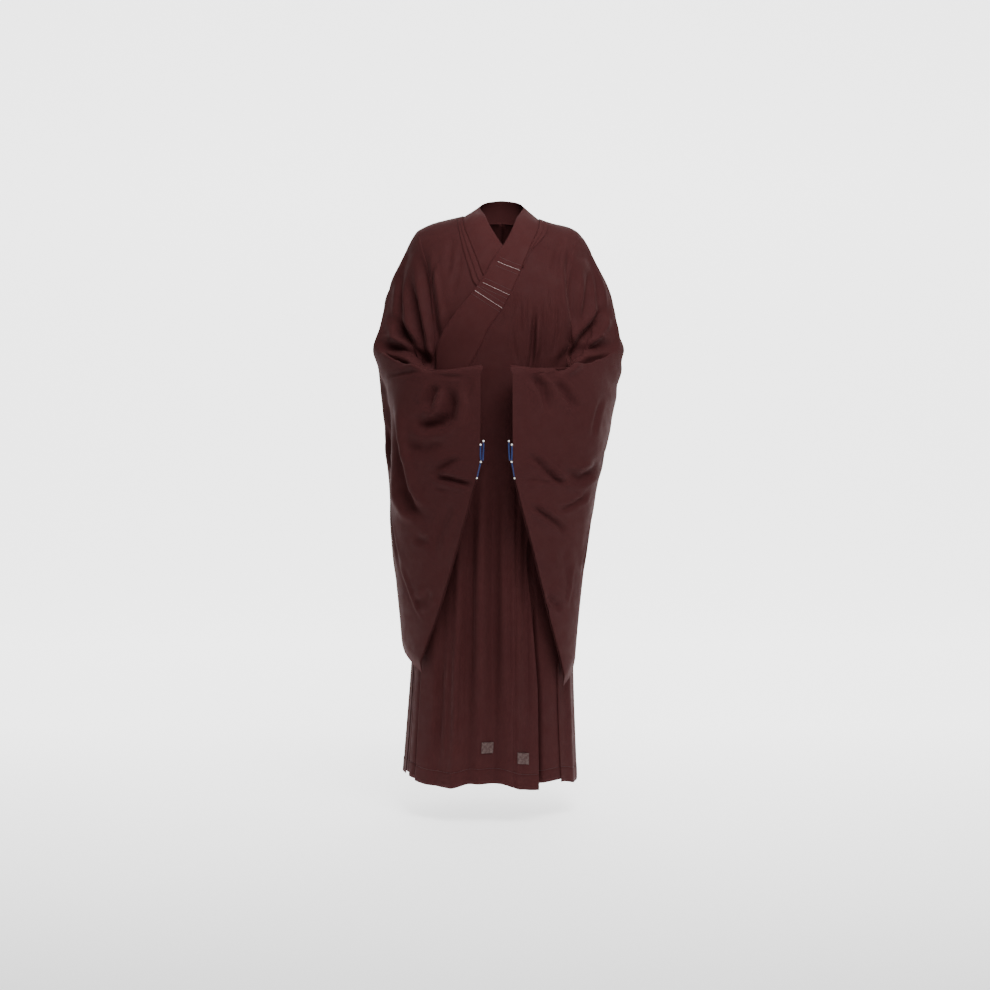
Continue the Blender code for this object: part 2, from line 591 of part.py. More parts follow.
def sleeve_grid(table, front, back, side, steps):
    loop0 = armhole_loop(front, back)
    first = [loop0[sum(RING_STEPS[:i])] for i in range(9)]
    fixed = section_ring(first)
    stations = [first] + [section_points(row, side) for row in table]
    grid = []
    count = len(stations)
    for i in range(count - 1):
        for k in range(steps if i < count - 2 else steps + 1):
            t = k / steps
            b, c = stations[i], stations[i + 1]
            a = stations[i - 1] if i else [p - Vector((side * 0.045, 0.0, 0.0)) for p in first]
            d = stations[min(i + 2, count - 1)]
            ring = section_ring([spline(a[j], b[j], c[j], d[j], t) for j in range(9)])
            if i == 0:
                hold = (1.0 - t) ** 2
                ring = [p + (q - f) * hold for p, q, f in zip(ring, loop0, fixed)]
            grid.append(ring)
    return grid


def set_off(edge, following, corner=None):
    """Move an edge ring a seam's gap along the cloth, and more at the lower edge's turn."""
    out = []
    n = len(edge)
    for i, p in enumerate(edge):
        along = (edge[(i + 1) % n] - edge[i - 1]).normalized()
        step = following[i] - p
        step -= along * step.dot(along)
        reach = 8.0 if corner is not None and corner - 1 <= i <= corner + 2 else 3.2
        out.append(p + step.normalized() * reach * GAP)
    return out


def close_mouth(ring, mouth, side, weight):
    """Bring both layers of a section to the sewn edge below the hand slot."""
    flat = [(-row[0], row[1], row[2]) for row in mouth]
    slot_end = mouth[1][0]
    out = []
    for index, p in enumerate(ring):
        outer = index <= sum(RING_STEPS[:3])
        seam = Vector((look(flat, -p.z, 1), look(flat, -p.z, 2), p.z))
        goal = seam + heading(48, side) * (HEM_TURN if outer else -HEM_TURN)
        if not outer:
            goal = goal.lerp(p, smooth((p.z - slot_end) / 0.05))
        out.append(p.lerp(goal, weight))
    return out


def near_line(x, z, marks):
    """Distance of a place to a line of marks, and the share of the line passed there."""
    best = (9.0, 0.0)
    legs = len(marks) - 1
    for k in range(legs):
        ax, az = marks[k]
        dx, dz = marks[k + 1][0] - ax, marks[k + 1][1] - az
        t = min(max(((x - ax) * dx + (z - az) * dz) / (dx * dx + dz * dz), 0.0), 1.0)
        best = min(best, (math.hypot(x - ax - t * dx, z - az - t * dz), (k + t) / legs))
    return best


def fold_sleeve(grid, folds, side):
    """Press the largest folds into the front of a sleeve."""
    out = []
    for j, ring in enumerate(grid):
        row = []
        for i, p in enumerate(ring):
            round_it = ring[(i + 1) % len(ring)] - ring[i - 1]
            along = grid[min(j + 1, len(grid) - 1)][i] - grid[max(j - 1, 0)][i]
            normal = along.cross(round_it).normalized() * side
            press = 0.0
            for half, depth, marks in folds:
                gap, place = near_line(p.x, p.z, marks)
                ends = smooth(place / 0.3) * smooth((1.0 - place) / 0.3)
                press += depth * ends * math.exp(-(gap / half) ** 2)
            row.append(p + normal * press * smooth(-normal.y / 0.4))
        out.append(row)
    return out


def build_sleeves():
    for name, table, mouth, front, back, side, folds in (
            ("sleeve_right", RIGHT_SLEEVE, RIGHT_MOUTH, RIGHT_FRONT_ARMHOLE, RIGHT_BACK_ARMHOLE, -1.0,
             RIGHT_SLEEVE_FOLDS),
            ("sleeve_left", LEFT_SLEEVE, LEFT_MOUTH, LEFT_FRONT_ARMHOLE, LEFT_BACK_ARMHOLE, 1.0,
             LEFT_SLEEVE_FOLDS)):
        grid = sleeve_grid(table, front, back, side, SLEEVE_STEPS)
        grid = grid[:1] + fold_sleeve(grid, folds, side)[1:]
        for j, weight in enumerate(MOUTH_HOLD):
            grid[-1 - j] = close_mouth(grid[-1 - j], mouth, side, weight)
        grid[0] = set_off(grid[0], grid[1])
        upper, lower = grid[:SLEEVE_SPLIT + 1], grid[SLEEVE_SPLIT:]
        lower[0] = set_off(lower[0], lower[1], sum(RING_STEPS[:3]))
        sheet(name, upper, ring=True, flip=side > 0.0)
        sheet(name + "_lower", lower, ring=True, flip=side > 0.0)


def tube(name, start, end, radius, colour):
    """Straight strand with closed, rounded ends."""
    bm = bmesh.new()
    bmesh.ops.create_cone(bm, cap_ends=True, segments=8, radius1=radius, radius2=radius,
                          depth=(end - start).length)
    turn_to = (end - start).to_track_quat("Z", "Y").to_matrix().to_4x4()
    turn_to.translation = (start + end) / 2.0
    bm.transform(turn_to)
    mesh = bpy.data.meshes.new(name)
    bm.to_mesh(mesh)
    bm.free()
    return dress(mesh, name, colour)


def ball(name, centre, radius, colour):
    bm = bmesh.new()
    bmesh.ops.create_icosphere(bm, subdivisions=1, radius=radius)
    bmesh.ops.translate(bm, verts=bm.verts, vec=centre)
    mesh = bpy.data.meshes.new(name)
    bm.to_mesh(mesh)
    bm.free()
    return dress(mesh, name, colour)


def build_cords():
    clear = KNOT_RADIUS + GAP
    for side, sign, mouth in (("right", -1.0, RIGHT_MOUTH), ("left", 1.0, LEFT_MOUTH)):
        flat = [(-row[0], row[1], row[2]) for row in mouth]
        out = heading(48, sign)
        ahead = Vector((out.y * sign, -out.x * sign, 0.0))
        marks = []
        for number, z in enumerate(CORD_HEIGHTS):
            seam = Vector((look(flat, -z, 1), look(flat, -z, 2), z))
            marks.append(seam + out * (0.0018 if number < 2 else 0.0) + ahead * (KNOT_RADIUS + GAP))
        front, back, fork, end = marks
        back.x -= sign * STRANDS_APART
        twin = Vector((-sign * (2.0 * CORD_RADIUS + GAP), 0.0, 0.0))
        low = Vector((fork.x, fork.y, fork.z + clear))
        down = Vector((0.0, 0.0, -clear))
        tube("cuff_cord_%s_front" % side, front + down, low, CORD_RADIUS, CORD_COLOUR)
        tube("cuff_cord_%s_back" % side, back + down, low + twin, CORD_RADIUS, CORD_COLOUR)
        along = (end - fork).normalized()
        tube("cuff_cord_%s_stem" % side, fork + along * clear, end - along * clear, CORD_RADIUS, CORD_COLOUR)
        for number, mark in enumerate(marks):
            ball("cord_knot_%s_%d" % (side, number + 1), mark, KNOT_RADIUS, KNOT_COLOUR)


group = bpy.data.collections.new("buddhist monk robe")
bpy.context.scene.collection.children.link(group)

build_body()
build_overlap()
build_collar()
build_strips()
build_gores()
build_sleeves()
build_patches()
build_cords()
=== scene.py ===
# Long crossed-front temple robe with bag sleeves: cloth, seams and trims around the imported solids.
# Metres, +Z up, front faces -Y, +X is the wearer's left, origin at the neck opening.
import math
import bpy
import bmesh
import numpy as np
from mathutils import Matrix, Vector
from mathutils.bvhtree import BVHTree


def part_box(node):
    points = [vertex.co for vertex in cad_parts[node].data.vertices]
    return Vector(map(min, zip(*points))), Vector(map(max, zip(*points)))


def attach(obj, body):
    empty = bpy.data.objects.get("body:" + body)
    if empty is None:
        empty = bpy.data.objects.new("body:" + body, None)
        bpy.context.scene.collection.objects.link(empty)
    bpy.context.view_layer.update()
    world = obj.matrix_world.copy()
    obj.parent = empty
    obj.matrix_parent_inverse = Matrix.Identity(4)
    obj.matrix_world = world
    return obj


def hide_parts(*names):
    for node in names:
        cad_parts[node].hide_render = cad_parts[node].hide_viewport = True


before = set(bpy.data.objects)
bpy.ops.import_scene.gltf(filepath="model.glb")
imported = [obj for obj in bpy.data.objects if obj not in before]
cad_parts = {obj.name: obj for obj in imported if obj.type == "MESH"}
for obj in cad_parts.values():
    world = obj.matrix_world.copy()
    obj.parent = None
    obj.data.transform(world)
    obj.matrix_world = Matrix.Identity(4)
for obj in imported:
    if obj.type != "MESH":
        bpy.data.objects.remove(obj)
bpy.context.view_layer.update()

# Driving sizes in metres, the same as the solids have
WALL = 0.0012
STRIP_WALL = 0.0010
GAUZE_WALL = 0.0006
BODY_LENGTH = 1.235
CREST_DOWN = 0.02      # the body sections count from this far above the shoulder line
CROSSING = 0.215       # drop where the left side's collar seam meets the centre front
ARMPIT = 0.385
LAP_LIFT = 0.0062
COLLAR_RISE = 0.0026
SEAM_GAP = 0.0003
HEM_TURN = 0.0024      # half of the doubled lower edge of a sleeve
HEM_DEPTH = 0.034      # turned hem of the body, from its stitch line to the edge
HEM_LINE = BODY_LENGTH - HEM_DEPTH
PATCH_SIZE = 0.025
CORD_RADIUS = 0.0019
KNOT_RADIUS = 0.0023
ROW_STEP = 0.0085      # between the rows of points down the body's cloth
MM = 1000.0            # divides the tables that are in millimetres

# Body sections: down, middle, half width, front depth, back depth, squareness
SECTIONS = (
    (0, 0.0123, 0.205, 0.12, 0.095, 3),
    (0.1, 0.0123, 0.2, 0.128, 0.105, 3.2),
    (0.22, 0.0103, 0.19, 0.14, 0.112, 3.2),
    (0.32, 0.0083, 0.182, 0.142, 0.115, 3),
    (0.4, 0.0063, 0.175, 0.138, 0.116, 2.6),
    (0.55, 0.0023, 0.172, 0.136, 0.122, 2.3),
    (0.8, -0.0027, 0.176, 0.142, 0.134, 2.2),
    (1, -0.0062, 0.1815, 0.148, 0.142, 2.2),
    (1.255, -0.0112, 0.1955, 0.156, 0.156, 2.2),
)
# Shoulder line: across, height
CREST = (
    (-0.2, -0.07), (-0.189, -0.046), (-0.176, -0.034), (-0.162, -0.026), (-0.1385, -0.016), (-0.108, -0.008),
    (-0.072, 0), (0.012, 0.016), (0.097, -0.007), (0.126, -0.016), (0.161, -0.0245), (0.181, -0.035),
    (0.199, -0.057),
)
# Hem: angle, longer or shorter than the common fall
HEM = (
    (-180, 0), (-90, -0.002), (-70, -0.004), (-48, 0.001), (-25, 0.003), (-9, -0.009), (4, -0.009),
    (18, 0.005), (30, 0.008), (34, 0.002), (52, 0), (70, 0.01), (95, 0.012), (130, 0.004), (180, 0),
)
# Edges of the panels: drop, angle round the body
RIGHT_FRONT_ARMHOLE = (
    (0, -61), (0.019, -56.5), (0.086, -48.6), (0.17, -44.8), (0.249, -42.6), (0.31, -42.5), (0.335, -47),
    (0.36, -63), (0.375, -78), (0.385, -87.9),
)
RIGHT_BACK_ARMHOLE = (
    (0, -119), (0.04, -124), (0.11, -127), (0.2, -126), (0.28, -119), (0.335, -108), (0.37, -96),
    (0.385, -88.1),
)
LEFT_FRONT_ARMHOLE = (
    (0, 54), (0.019, 47), (0.05, 41.5), (0.113, 40), (0.19, 44.6), (0.25, 47.5), (0.31, 45), (0.335, 48),
    (0.36, 63), (0.375, 78), (0.385, 87.9),
)
LEFT_BACK_ARMHOLE = (
    (0, 126), (0.04, 129), (0.11, 129), (0.2, 126), (0.28, 119), (0.335, 108), (0.37, 96), (0.385, 88.1),
)
LEFT_FRONT_SIDE = (
    (0.385, 87.9), (0.42, 80), (0.5, 50), (0.6, 30), (0.72, 20.5), (0.82, 23.6), (0.92, 26.7), (1.04, 29.6),
    (1.235, 29.9),
)
LEFT_BACK_SIDE = ((0.385, 88.1), (0.45, 84), (0.6, 70), (0.8, 59), (1.01, 50), (1.235, 51.5))
RIGHT_FRONT_SIDE = ((0.385, -87.9), (0.45, -87), (0.6, -78), (1.235, -70))
RIGHT_BACK_SIDE = ((0.385, -88.1), (0.45, -89), (0.6, -84), (1.235, -80))
LEFT_COLLAR_SEAM = (
    (0, 15.2), (0.022, 13.8), (0.083, 7.6), (0.119, 4.9), (0.16, 2), (0.2, 0), (0.215, -0.75),
)
CENTRE_FRONT = ((0.215, -0.75), (0.3, -1.8), (0.56, -1.8), (1.235, 0.6))
RIGHT_COLLAR_SEAM = (
    (0, -15.6), (0.02, -14.7), (0.066, -10.1), (0.113, -6), (0.132, -4.6), (0.2, 8), (0.3, 22), (1.235, 20),
)
LEFT_BACK_NECK = ((0, 164.8), (0.01, 167.5), (0.022, 172.5), (0.03, 180), (1.235, 180))
RIGHT_BACK_NECK = ((0, -164.4), (0.01, -167), (0.022, -172), (0.03, -180), (1.235, -180))
# Seam of the outer front with the collar: share of its run, angle, drop
LAP_SEAM = (
    (0, -0.75, 0.215), (0.143, -2.4, 0.231), (0.286, -5, 0.258), (0.429, -8.6, 0.286), (0.571, -14.8, 0.318),
    (0.714, -26, 0.354), (0.857, -40, 0.392), (1, -57, 0.43),
)
# Free edge of the collar: drop of its seam or share of the run, angle, drop
RIGHT_FREE_EDGE = (
    (0, -3.7, 0.01), (0.02, -3.7, 0.016), (0.066, -1, 0.053), (0.113, 0.6, 0.088), (0.2, 14, 0.15),
    (0.31, 29, 0.245),
)
# The same behind the neck: drop of its seam, out from the middle, y, z
BACK_FREE_EDGE = (
    (0, 0.0477, -0.013, 0.0105), (0.008, 0.049, 0.016, 0.021), (0.018, 0.034, 0.036, 0.031),
    (0.03, 0, 0.046, 0.036),
)
LEFT_FREE_EDGE = (
    (0.008, 3.6, 0.013), (0.022, 3.1, 0.021), (0.052, 1.4, 0.052), (0.083, 0, 0.084), (0.119, -1.3, 0.104),
    (0.16, -4.4, 0.136), (0.2, -11.2, 0.168), (0.215, -15, 0.181),
)
LAP_FREE_EDGE = (
    (0, -15, 0.181), (0.143, -20.6, 0.199), (0.286, -34.4, 0.249), (0.429, -39, 0.275),
    (0.571, -40.5, 0.305), (0.714, -43, 0.342), (0.857, -49, 0.37), (1, -57, 0.39),
)
# Collar strips: drop of the seam, width at the back, inner front, outer front
STRIP_WIDTHS = (
    (0, 0.01, 0.006, 0.01), (0.022, 0.01, 0.006, 0.01), (0.06, 0.01, 0.009, 0.006),
    (0.09, 0.01, 0.011, 0.0015), (0.12, 0.01, 0.012, 0.0012),
)
# Long folds: angle above, angle below, drop where it starts, drop where it is full,
# half width in degrees, depth (minus is a valley)
BODY_FOLDS = (
    (-1.8, 0.8, 0.4, 0.75, 3.2, -0.0085),
    (-15.5, -14.2, 0.45, 0.9, 3, -0.0055),
    (-24, -23, 0.45, 0.95, 3.5, 0.006),
    (-8, -6.8, 0.45, 0.9, 3.2, 0.006),
    (8, 12.5, 0.45, 0.95, 4, 0.006),
    (-38, -36, 0.5, 1, 4.5, -0.005),
    (12.4, 13, 0.18, 0.27, 1.6, -0.0045),
    (5.2, 8, 0.21, 0.29, 1.8, 0.002),
    (20, 19, 0.14, 0.28, 2.6, -0.0022),
    (66, 65, 0.7, 1.1, 5, 0.006),
    (104, 101, 0.55, 1.1, 6, -0.008),
    (122, 121, 0.5, 1.1, 6, 0.011),
    (139, 140, 0.3, 1, 5, -0.01),
    (158, 157, 0.35, 1.05, 6, 0.012),
    (174, 172, 0.3, 1, 5, -0.009),
    (-168, -166, 0.35, 1.05, 5.5, 0.011),
    (-150, -151, 0.28, 1, 5, -0.0105),
    (-132, -131, 0.4, 1.1, 6, 0.012),
    (-113, -114, 0.5, 1.1, 5.5, -0.009),
    (-93, -92, 0.6, 1.15, 6, 0.006),
)
# Sleeve sections from shoulder to mouth, in millimetres: top, lowest and crook points, outward direction
# in degrees, two swellings of the outer layer, two of the inner, one over the arm
RIGHT_SLEEVE = (
    ((-221, 0, -124), (-192, 30, -440), (-141, -121, -348), 155, 60, 24, 18, 26, 20),
    ((-238, 0, -180), (-205, 55, -560), (-143, -129, -356), 150, 54, 26, 14, 26, 18),
    ((-254, -5, -240), (-212, 55, -700), (-143, -137, -362), 150, 42, 24, 6, 24, 16),
    ((-272, -20, -297), (-216, 20, -865), (-136, -146, -362), 95, -24, 3, 4, 20, 14),
    ((-196, -150, -338), (-210, -30, -935), (-116, -160, -352), 62, 28, 18, 4, 14, 6),
    ((-118, -212, -345), (-187, -85, -967), (-84, -174, -346), 47, 22, 18, 4, 10, 4),
    ((-31, -250, -337), (-166, -122, -980), (-34, -196, -337), 45, 12, 6, 0, 4, 0),
)
LEFT_SLEEVE = (
    ((228, 0, -118), (204, 30, -440), (164, -118, -347), 155, 60, 24, 20, 26, 20),
    ((249, 0, -165), (208, 50, -560), (163, -128, -355), 150, 54, 26, 12, 26, 18),
    ((264, -5, -225), (198, 45, -680), (160, -138, -361), 150, 42, 20, 6, 24, 16),
    ((279, -20, -297), (182, 10, -820), (148, -150, -361), 95, 9, 2, 4, 20, 14),
    ((200, -150, -334), (180, -40, -935), (120, -162, -352), 62, 30, 14, 4, 14, 6),
    ((118, -212, -341), (169, -85, -990), (83, -174, -346), 47, 22, 16, 4, 10, 4),
    ((32, -250, -339), (150, -122, -1010), (35, -196, -339), 45, 12, 6, 0, 4, 0),
)
# Sewn mouth edge below the hand slot, in millimetres: height, x, y
RIGHT_MOUTH = (
    (-337, -31, -248), (-527, -34, -246), (-600, -52, -232), (-680, -73, -213), (-770, -98, -188),
    (-860, -124, -160), (-930, -148, -136), (-980, -166, -122),
)
LEFT_MOUTH = (
    (-339, 33, -248), (-523, 34, -246), (-610, 50, -232), (-700, 74, -210), (-800, 98, -180),
    (-890, 120, -152), (-960, 138, -132), (-1010, 150, -122),
)
# How far each section is drawn to that edge: thirds of a station from the mouth, share
MOUTH_HOLD = ((0, 1), (1, 0.72), (2, 0.45), (3, 0.2), (4, 0.06), (5, 0))
# Points from each named point of a sleeve section to the next: the solids', and this cloth's
RING_STEPS = (4, 4, 4, 1, 3, 3, 4, 6, 6)
RING_FINE = (34, 50, 40, 3, 36, 30, 20, 26, 26)
OUTER_PARTS = 3        # of them, those of the outer layer
MOUTH_FACING = 48.0    # direction of the sewn mouth edge, degrees round from the front
# Drops of the solids' points along an armhole, down the back and up the front
BACK_DROPS = (0, 0.018, 0.046, 0.085, 0.145, 0.18, 0.215, 0.25, 0.282, 0.31, 0.335, 0.36, 0.385)
FRONT_DROPS = (
    0.385, 0.3805, 0.376, 0.372, 0.366, 0.36, 0.354, 0.348, 0.335, 0.3225, 0.31, 0.282, 0.25, 0.215, 0.18,
    0.145, 0.113, 0.085, 0.064, 0.046, 0.03, 0.018, 0,
)


def smooth(t):
    t = np.clip(t, 0.0, 1.0)
    return t * t * (3.0 - 2.0 * t)


def look(rows, key, column=1):
    """Column of a table at each key, on a smooth curve that never overshoots its rows."""
    x = np.array([row[0] for row in rows], float)
    y = np.array([row[column] for row in rows], float)
    key = np.clip(np.asarray(key, float), x[0], x[-1])
    h = np.diff(x)
    s = np.diff(y) / h
    slope = np.zeros_like(y)
    slope[0], slope[-1] = s[0], s[-1]
    if len(s) > 1:
        same = s[:-1] * s[1:] > 0.0
        near, far = 2.0 * h[1:] + h[:-1], h[1:] + 2.0 * h[:-1]
        a = np.where(same, s[:-1], 1.0)
        b = np.where(same, s[1:], 1.0)
        slope[1:-1] = np.where(same, (near + far) / (near / a + far / b), 0.0)
    i = np.clip(np.searchsorted(x, key, side="right") - 1, 0, len(x) - 2)
    t = (key - x[i]) / h[i]
    return (y[i] * (2 * t ** 3 - 3 * t ** 2 + 1) + slope[i] * h[i] * (t ** 3 - 2 * t ** 2 + t)
            + y[i + 1] * (3 * t ** 2 - 2 * t ** 3) + slope[i + 1] * h[i] * (t ** 3 - t ** 2))


def dot(a, b):
    return np.sum(a * b, -1)


def power(value, exponent):
    return np.sign(value) * np.abs(value) ** exponent


def bare(angle, drop):
    """Points of the body's smooth form at angles and drops below the crest."""
    s = np.sin(np.radians(angle))
    c = np.cos(np.radians(angle))
    middle, half, front, back, square = (look(SECTIONS, drop + CREST_DOWN, column) for column in range(1, 6))
    x = middle + half * power(s, 2.0 / square)
    top = look(CREST, x)
    z = top + (-CREST_DOWN - top) * smooth(drop / 0.3) - drop
    rise = np.minimum(drop / np.where(c >= 0.0, 0.18, 0.13), 1.0)
    y = -power(c, 2.0 / square) * np.where(c >= 0.0, front, back) * (1.0 - (1.0 - rise) ** 2) ** 0.6
    return np.stack([x, y, z], -1)


def unit(v):
    return v / np.maximum(np.linalg.norm(v, axis=-1, keepdims=True), 1e-12)


def away(angle, drop):
    """Directions out of the smooth form."""
    step = 0.004
    drop = np.maximum(drop, step)
    across = bare(angle + 1.0, drop) - bare(angle - 1.0, drop)
    down = bare(angle, drop + step) - bare(angle, drop - step)
    return unit(np.cross(down, across))


def turn(angle):
    """The same angle between -180 and 180 degrees."""
    return (angle + 180.0) % 360.0 - 180.0


def fold_height(angle, drop):
    """How far the long folds stand out of the smooth form."""
    total = np.zeros(np.broadcast(angle, drop).shape)
    for above, below, start, full, half, depth in BODY_FOLDS:
        strength = smooth((drop - start) / (full - start))
        line = above + (below - above) * smooth(drop / BODY_LENGTH)
        total = total + depth * strength * np.exp(-(turn(angle - line) / half) ** 2)
    return total


def on_body(angle, drop, lift):
    """Points of the cloth's outer face at a lift from the folded form."""
    angle, drop, lift = np.broadcast_arrays(np.asarray(angle, float), np.asarray(drop, float), lift)
    drop = drop + look(HEM, turn(angle)) * smooth((drop - 0.9) / 0.335) * (drop > 0.9)
    out = (fold_height(angle, drop) + lift)[..., None]
    return bare(angle, drop) + away(angle, drop) * out


def left_lift(angle, drop):
    """The left front rises over the right one toward the middle."""
    return LAP_LIFT * smooth((drop - 0.022) / 0.05) * smooth((48.0 - angle) / 16.0)


def right_lift(angle, drop):
    """The right front sinks under the outer front below the chest."""
    return -0.006 * smooth((drop - 0.36) / 0.10) * smooth((angle + 66.0) / 10.0)


def lap_lift(share):
    """The outer front settles toward its free edge."""
    return LAP_LIFT - 0.0015 * smooth((share - 0.75) / 0.25)


def collar_lift(drop):
    """The band rises over the seam at the neck and lies flat below it."""
    return COLLAR_RISE * (1.0 - smooth((drop - 0.085) / 0.05))


def angle_at(x, drop):
    """Front angle of a place across the body."""
    middle, half, square = (look(SECTIONS, drop + CREST_DOWN, column) for column in (1, 2, 5))
    return np.degrees(np.arcsin(np.clip(power((x - middle) / half, square / 2.0), -1.0, 1.0)))


def places(rows, angle_column=1, drop_column=0):
    """A table's places across the body against its first column."""
    return tuple((row[0], float(bare(np.array(row[angle_column]), np.array(row[drop_column]))[0]))
                 for row in rows)


def straight(rows):
    """Front edge that runs evenly over the middle of the body: angle at a drop."""
    marks = places(rows)
    return lambda drop: angle_at(look(marks, drop), drop)


def free_points(rows, key, lift):
    """Points along a free edge of the collar, given as key, angle and drop."""
    drop = look(rows, key, 2)
    return on_body(angle_at(look(places(rows, 1, 2), key), drop), drop, lift)


def joined(*tables):
    """One edge from tables that follow each other."""
    rows = []
    for table in tables:
        rows += [row for row in table if not rows or row[0] > rows[-1][0] + 1e-9]
    return lambda drop: look(rows, drop)


def rows_of(first, last, step, close=()):
    """Drops from first to last at a step, with more beside the given ones."""
    count = max(int(round((last - first) / step)), 1)
    values = list(np.linspace(first, last, count + 1))
    for value in close:
        values = [v for v in values if abs(v - value) > 0.0035 or v in (first, last)]
        values += [value + beside for beside in (-0.0025, -0.0008, 0.0008, 0.0025)]
    return np.array(sorted(values))


def grid_normals(grid, ring=False):
    """Directions square to a grid of points."""
    if ring:
        across = np.roll(grid, -1, 1) - np.roll(grid, 1, 1)
    else:
        across = np.gradient(grid, axis=1)
    return unit(np.cross(np.gradient(grid, axis=0), across))


def new_object(name, verts, faces, material):
    """A smooth mesh object in the scene."""
    mesh = bpy.data.meshes.new(name)
    mesh.from_pydata([tuple(v) for v in verts], [], faces)
    mesh.materials.append(material)
    mesh.shade_smooth()
    obj = bpy.data.objects.new(name, mesh)
    bpy.context.scene.collection.objects.link(obj)
    return obj


def rework(mesh, change):
    """Run a change on the editable form of a mesh."""
    bm = bmesh.new()
    bm.from_mesh(mesh)
    change(bm)
    bm.to_mesh(mesh)
    bm.free()


def cloth_piece(name, verts, faces, uvs, wall, cad, material):
    """A cloth shell whose outer face has the given points."""
    obj = new_object(name, verts, faces, material)
    layer = obj.data.uv_layers.new(name="cloth")
    for loop in obj.data.loops:
        layer.data[loop.index].uv = uvs[loop.vertex_index]
    rework(obj.data, lambda bm: bmesh.ops.remove_doubles(bm, verts=bm.verts, dist=0.00004))
    shell = obj.modifiers.new("wall", "SOLIDIFY")
    shell.thickness = wall
    shell.offset = -1.0
    shell.use_even_offset = False
    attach(obj, "root")
    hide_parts(*cad)
    return obj


def grid_faces(rows, cols, start=0, ring=False, flip=False):
    """Quads over a grid of points, whose numbers begin at start."""
    faces = []
    for r in range(rows - 1):
        for c in range(cols if ring else cols - 1):
            d = (c + 1) % cols
            quad = (start + r * cols + c, start + r * cols + d,
                    start + (r + 1) * cols + d, start + (r + 1) * cols + c)
            faces.append(quad[::-1] if flip else quad)
    return faces


def grid_uvs(grid):
    """Distances along the cloth, in metres, across and down."""
    across = np.zeros(grid.shape[:2])
    down = np.zeros(grid.shape[:2])
    across[:, 1:] = np.cumsum(np.linalg.norm(np.diff(grid, axis=1), axis=-1), axis=1)
    down[1:] = np.cumsum(np.linalg.norm(np.diff(grid, axis=0), axis=-1), axis=0)
    middle = across.shape[1] // 2
    across -= across[:, middle:middle + 1]
    return np.stack([across, down], -1).reshape(-1, 2)


# How creases are drawn on each side: the two axes that the drawing shows, and the way to the viewer
VIEWS = {
    "front": ((0, 2), (0.0, -1.0, 0.0)),
    "back": ((0, 2), (0.0, 1.0, 0.0)),
    "left": ((1, 2), (1.0, 0.0, 0.0)),
    "right": ((1, 2), (-1.0, 0.0, 0.0)),
}


def run_of(points):
    """Distance along a row of points at each of them."""
    return np.concatenate([[0.0], np.cumsum(np.linalg.norm(np.diff(points, axis=0), axis=1))])


def stroke_distance(flat, marks):
    """Distance of points to a drawn line, and the share of its run where each is nearest."""
    run = run_of(marks)
    best = np.full(len(flat), np.inf)
    place = np.zeros(len(flat))
    for k in range(len(marks) - 1):
        leg = marks[k + 1] - marks[k]
        t = np.clip(((flat - marks[k]) @ leg) / (leg @ leg), 0.0, 1.0)
        gap = np.linalg.norm(flat - (marks[k] + t[:, None] * leg), axis=1)
        near = gap < best
        best = np.where(near, gap, best)
        place = np.where(near, (run[k] + t * (run[k + 1] - run[k])) / run[-1], place)
    return best, place


def crease(grid, creases, ring=False, sign=1.0):
    """Move a grid of points along their normals by the creases drawn on it."""
    points = grid.reshape(-1, 3)
    out = (grid_normals(grid, ring) * sign).reshape(-1, 3)
    total = np.zeros(len(points))
    for view, strokes in creases.items():
        axes, toward = VIEWS[view]
        facing = smooth((out @ np.array(toward) + 0.05) / 0.45)
        for half, depth, *marks in strokes:
            gap, place = stroke_distance(points[:, axes], np.array(marks) / MM)
            ends = smooth(place / 0.3) * smooth((1.0 - place) / 0.3)
            reach = gap / (half / MM)
            profile = np.exp(-reach ** 1.6) - 0.42 * np.exp(-((reach - 1.9) / 0.9) ** 2)
            total += depth / MM * facing * ends * profile
    return (points + out * total[:, None]).reshape(grid.shape)


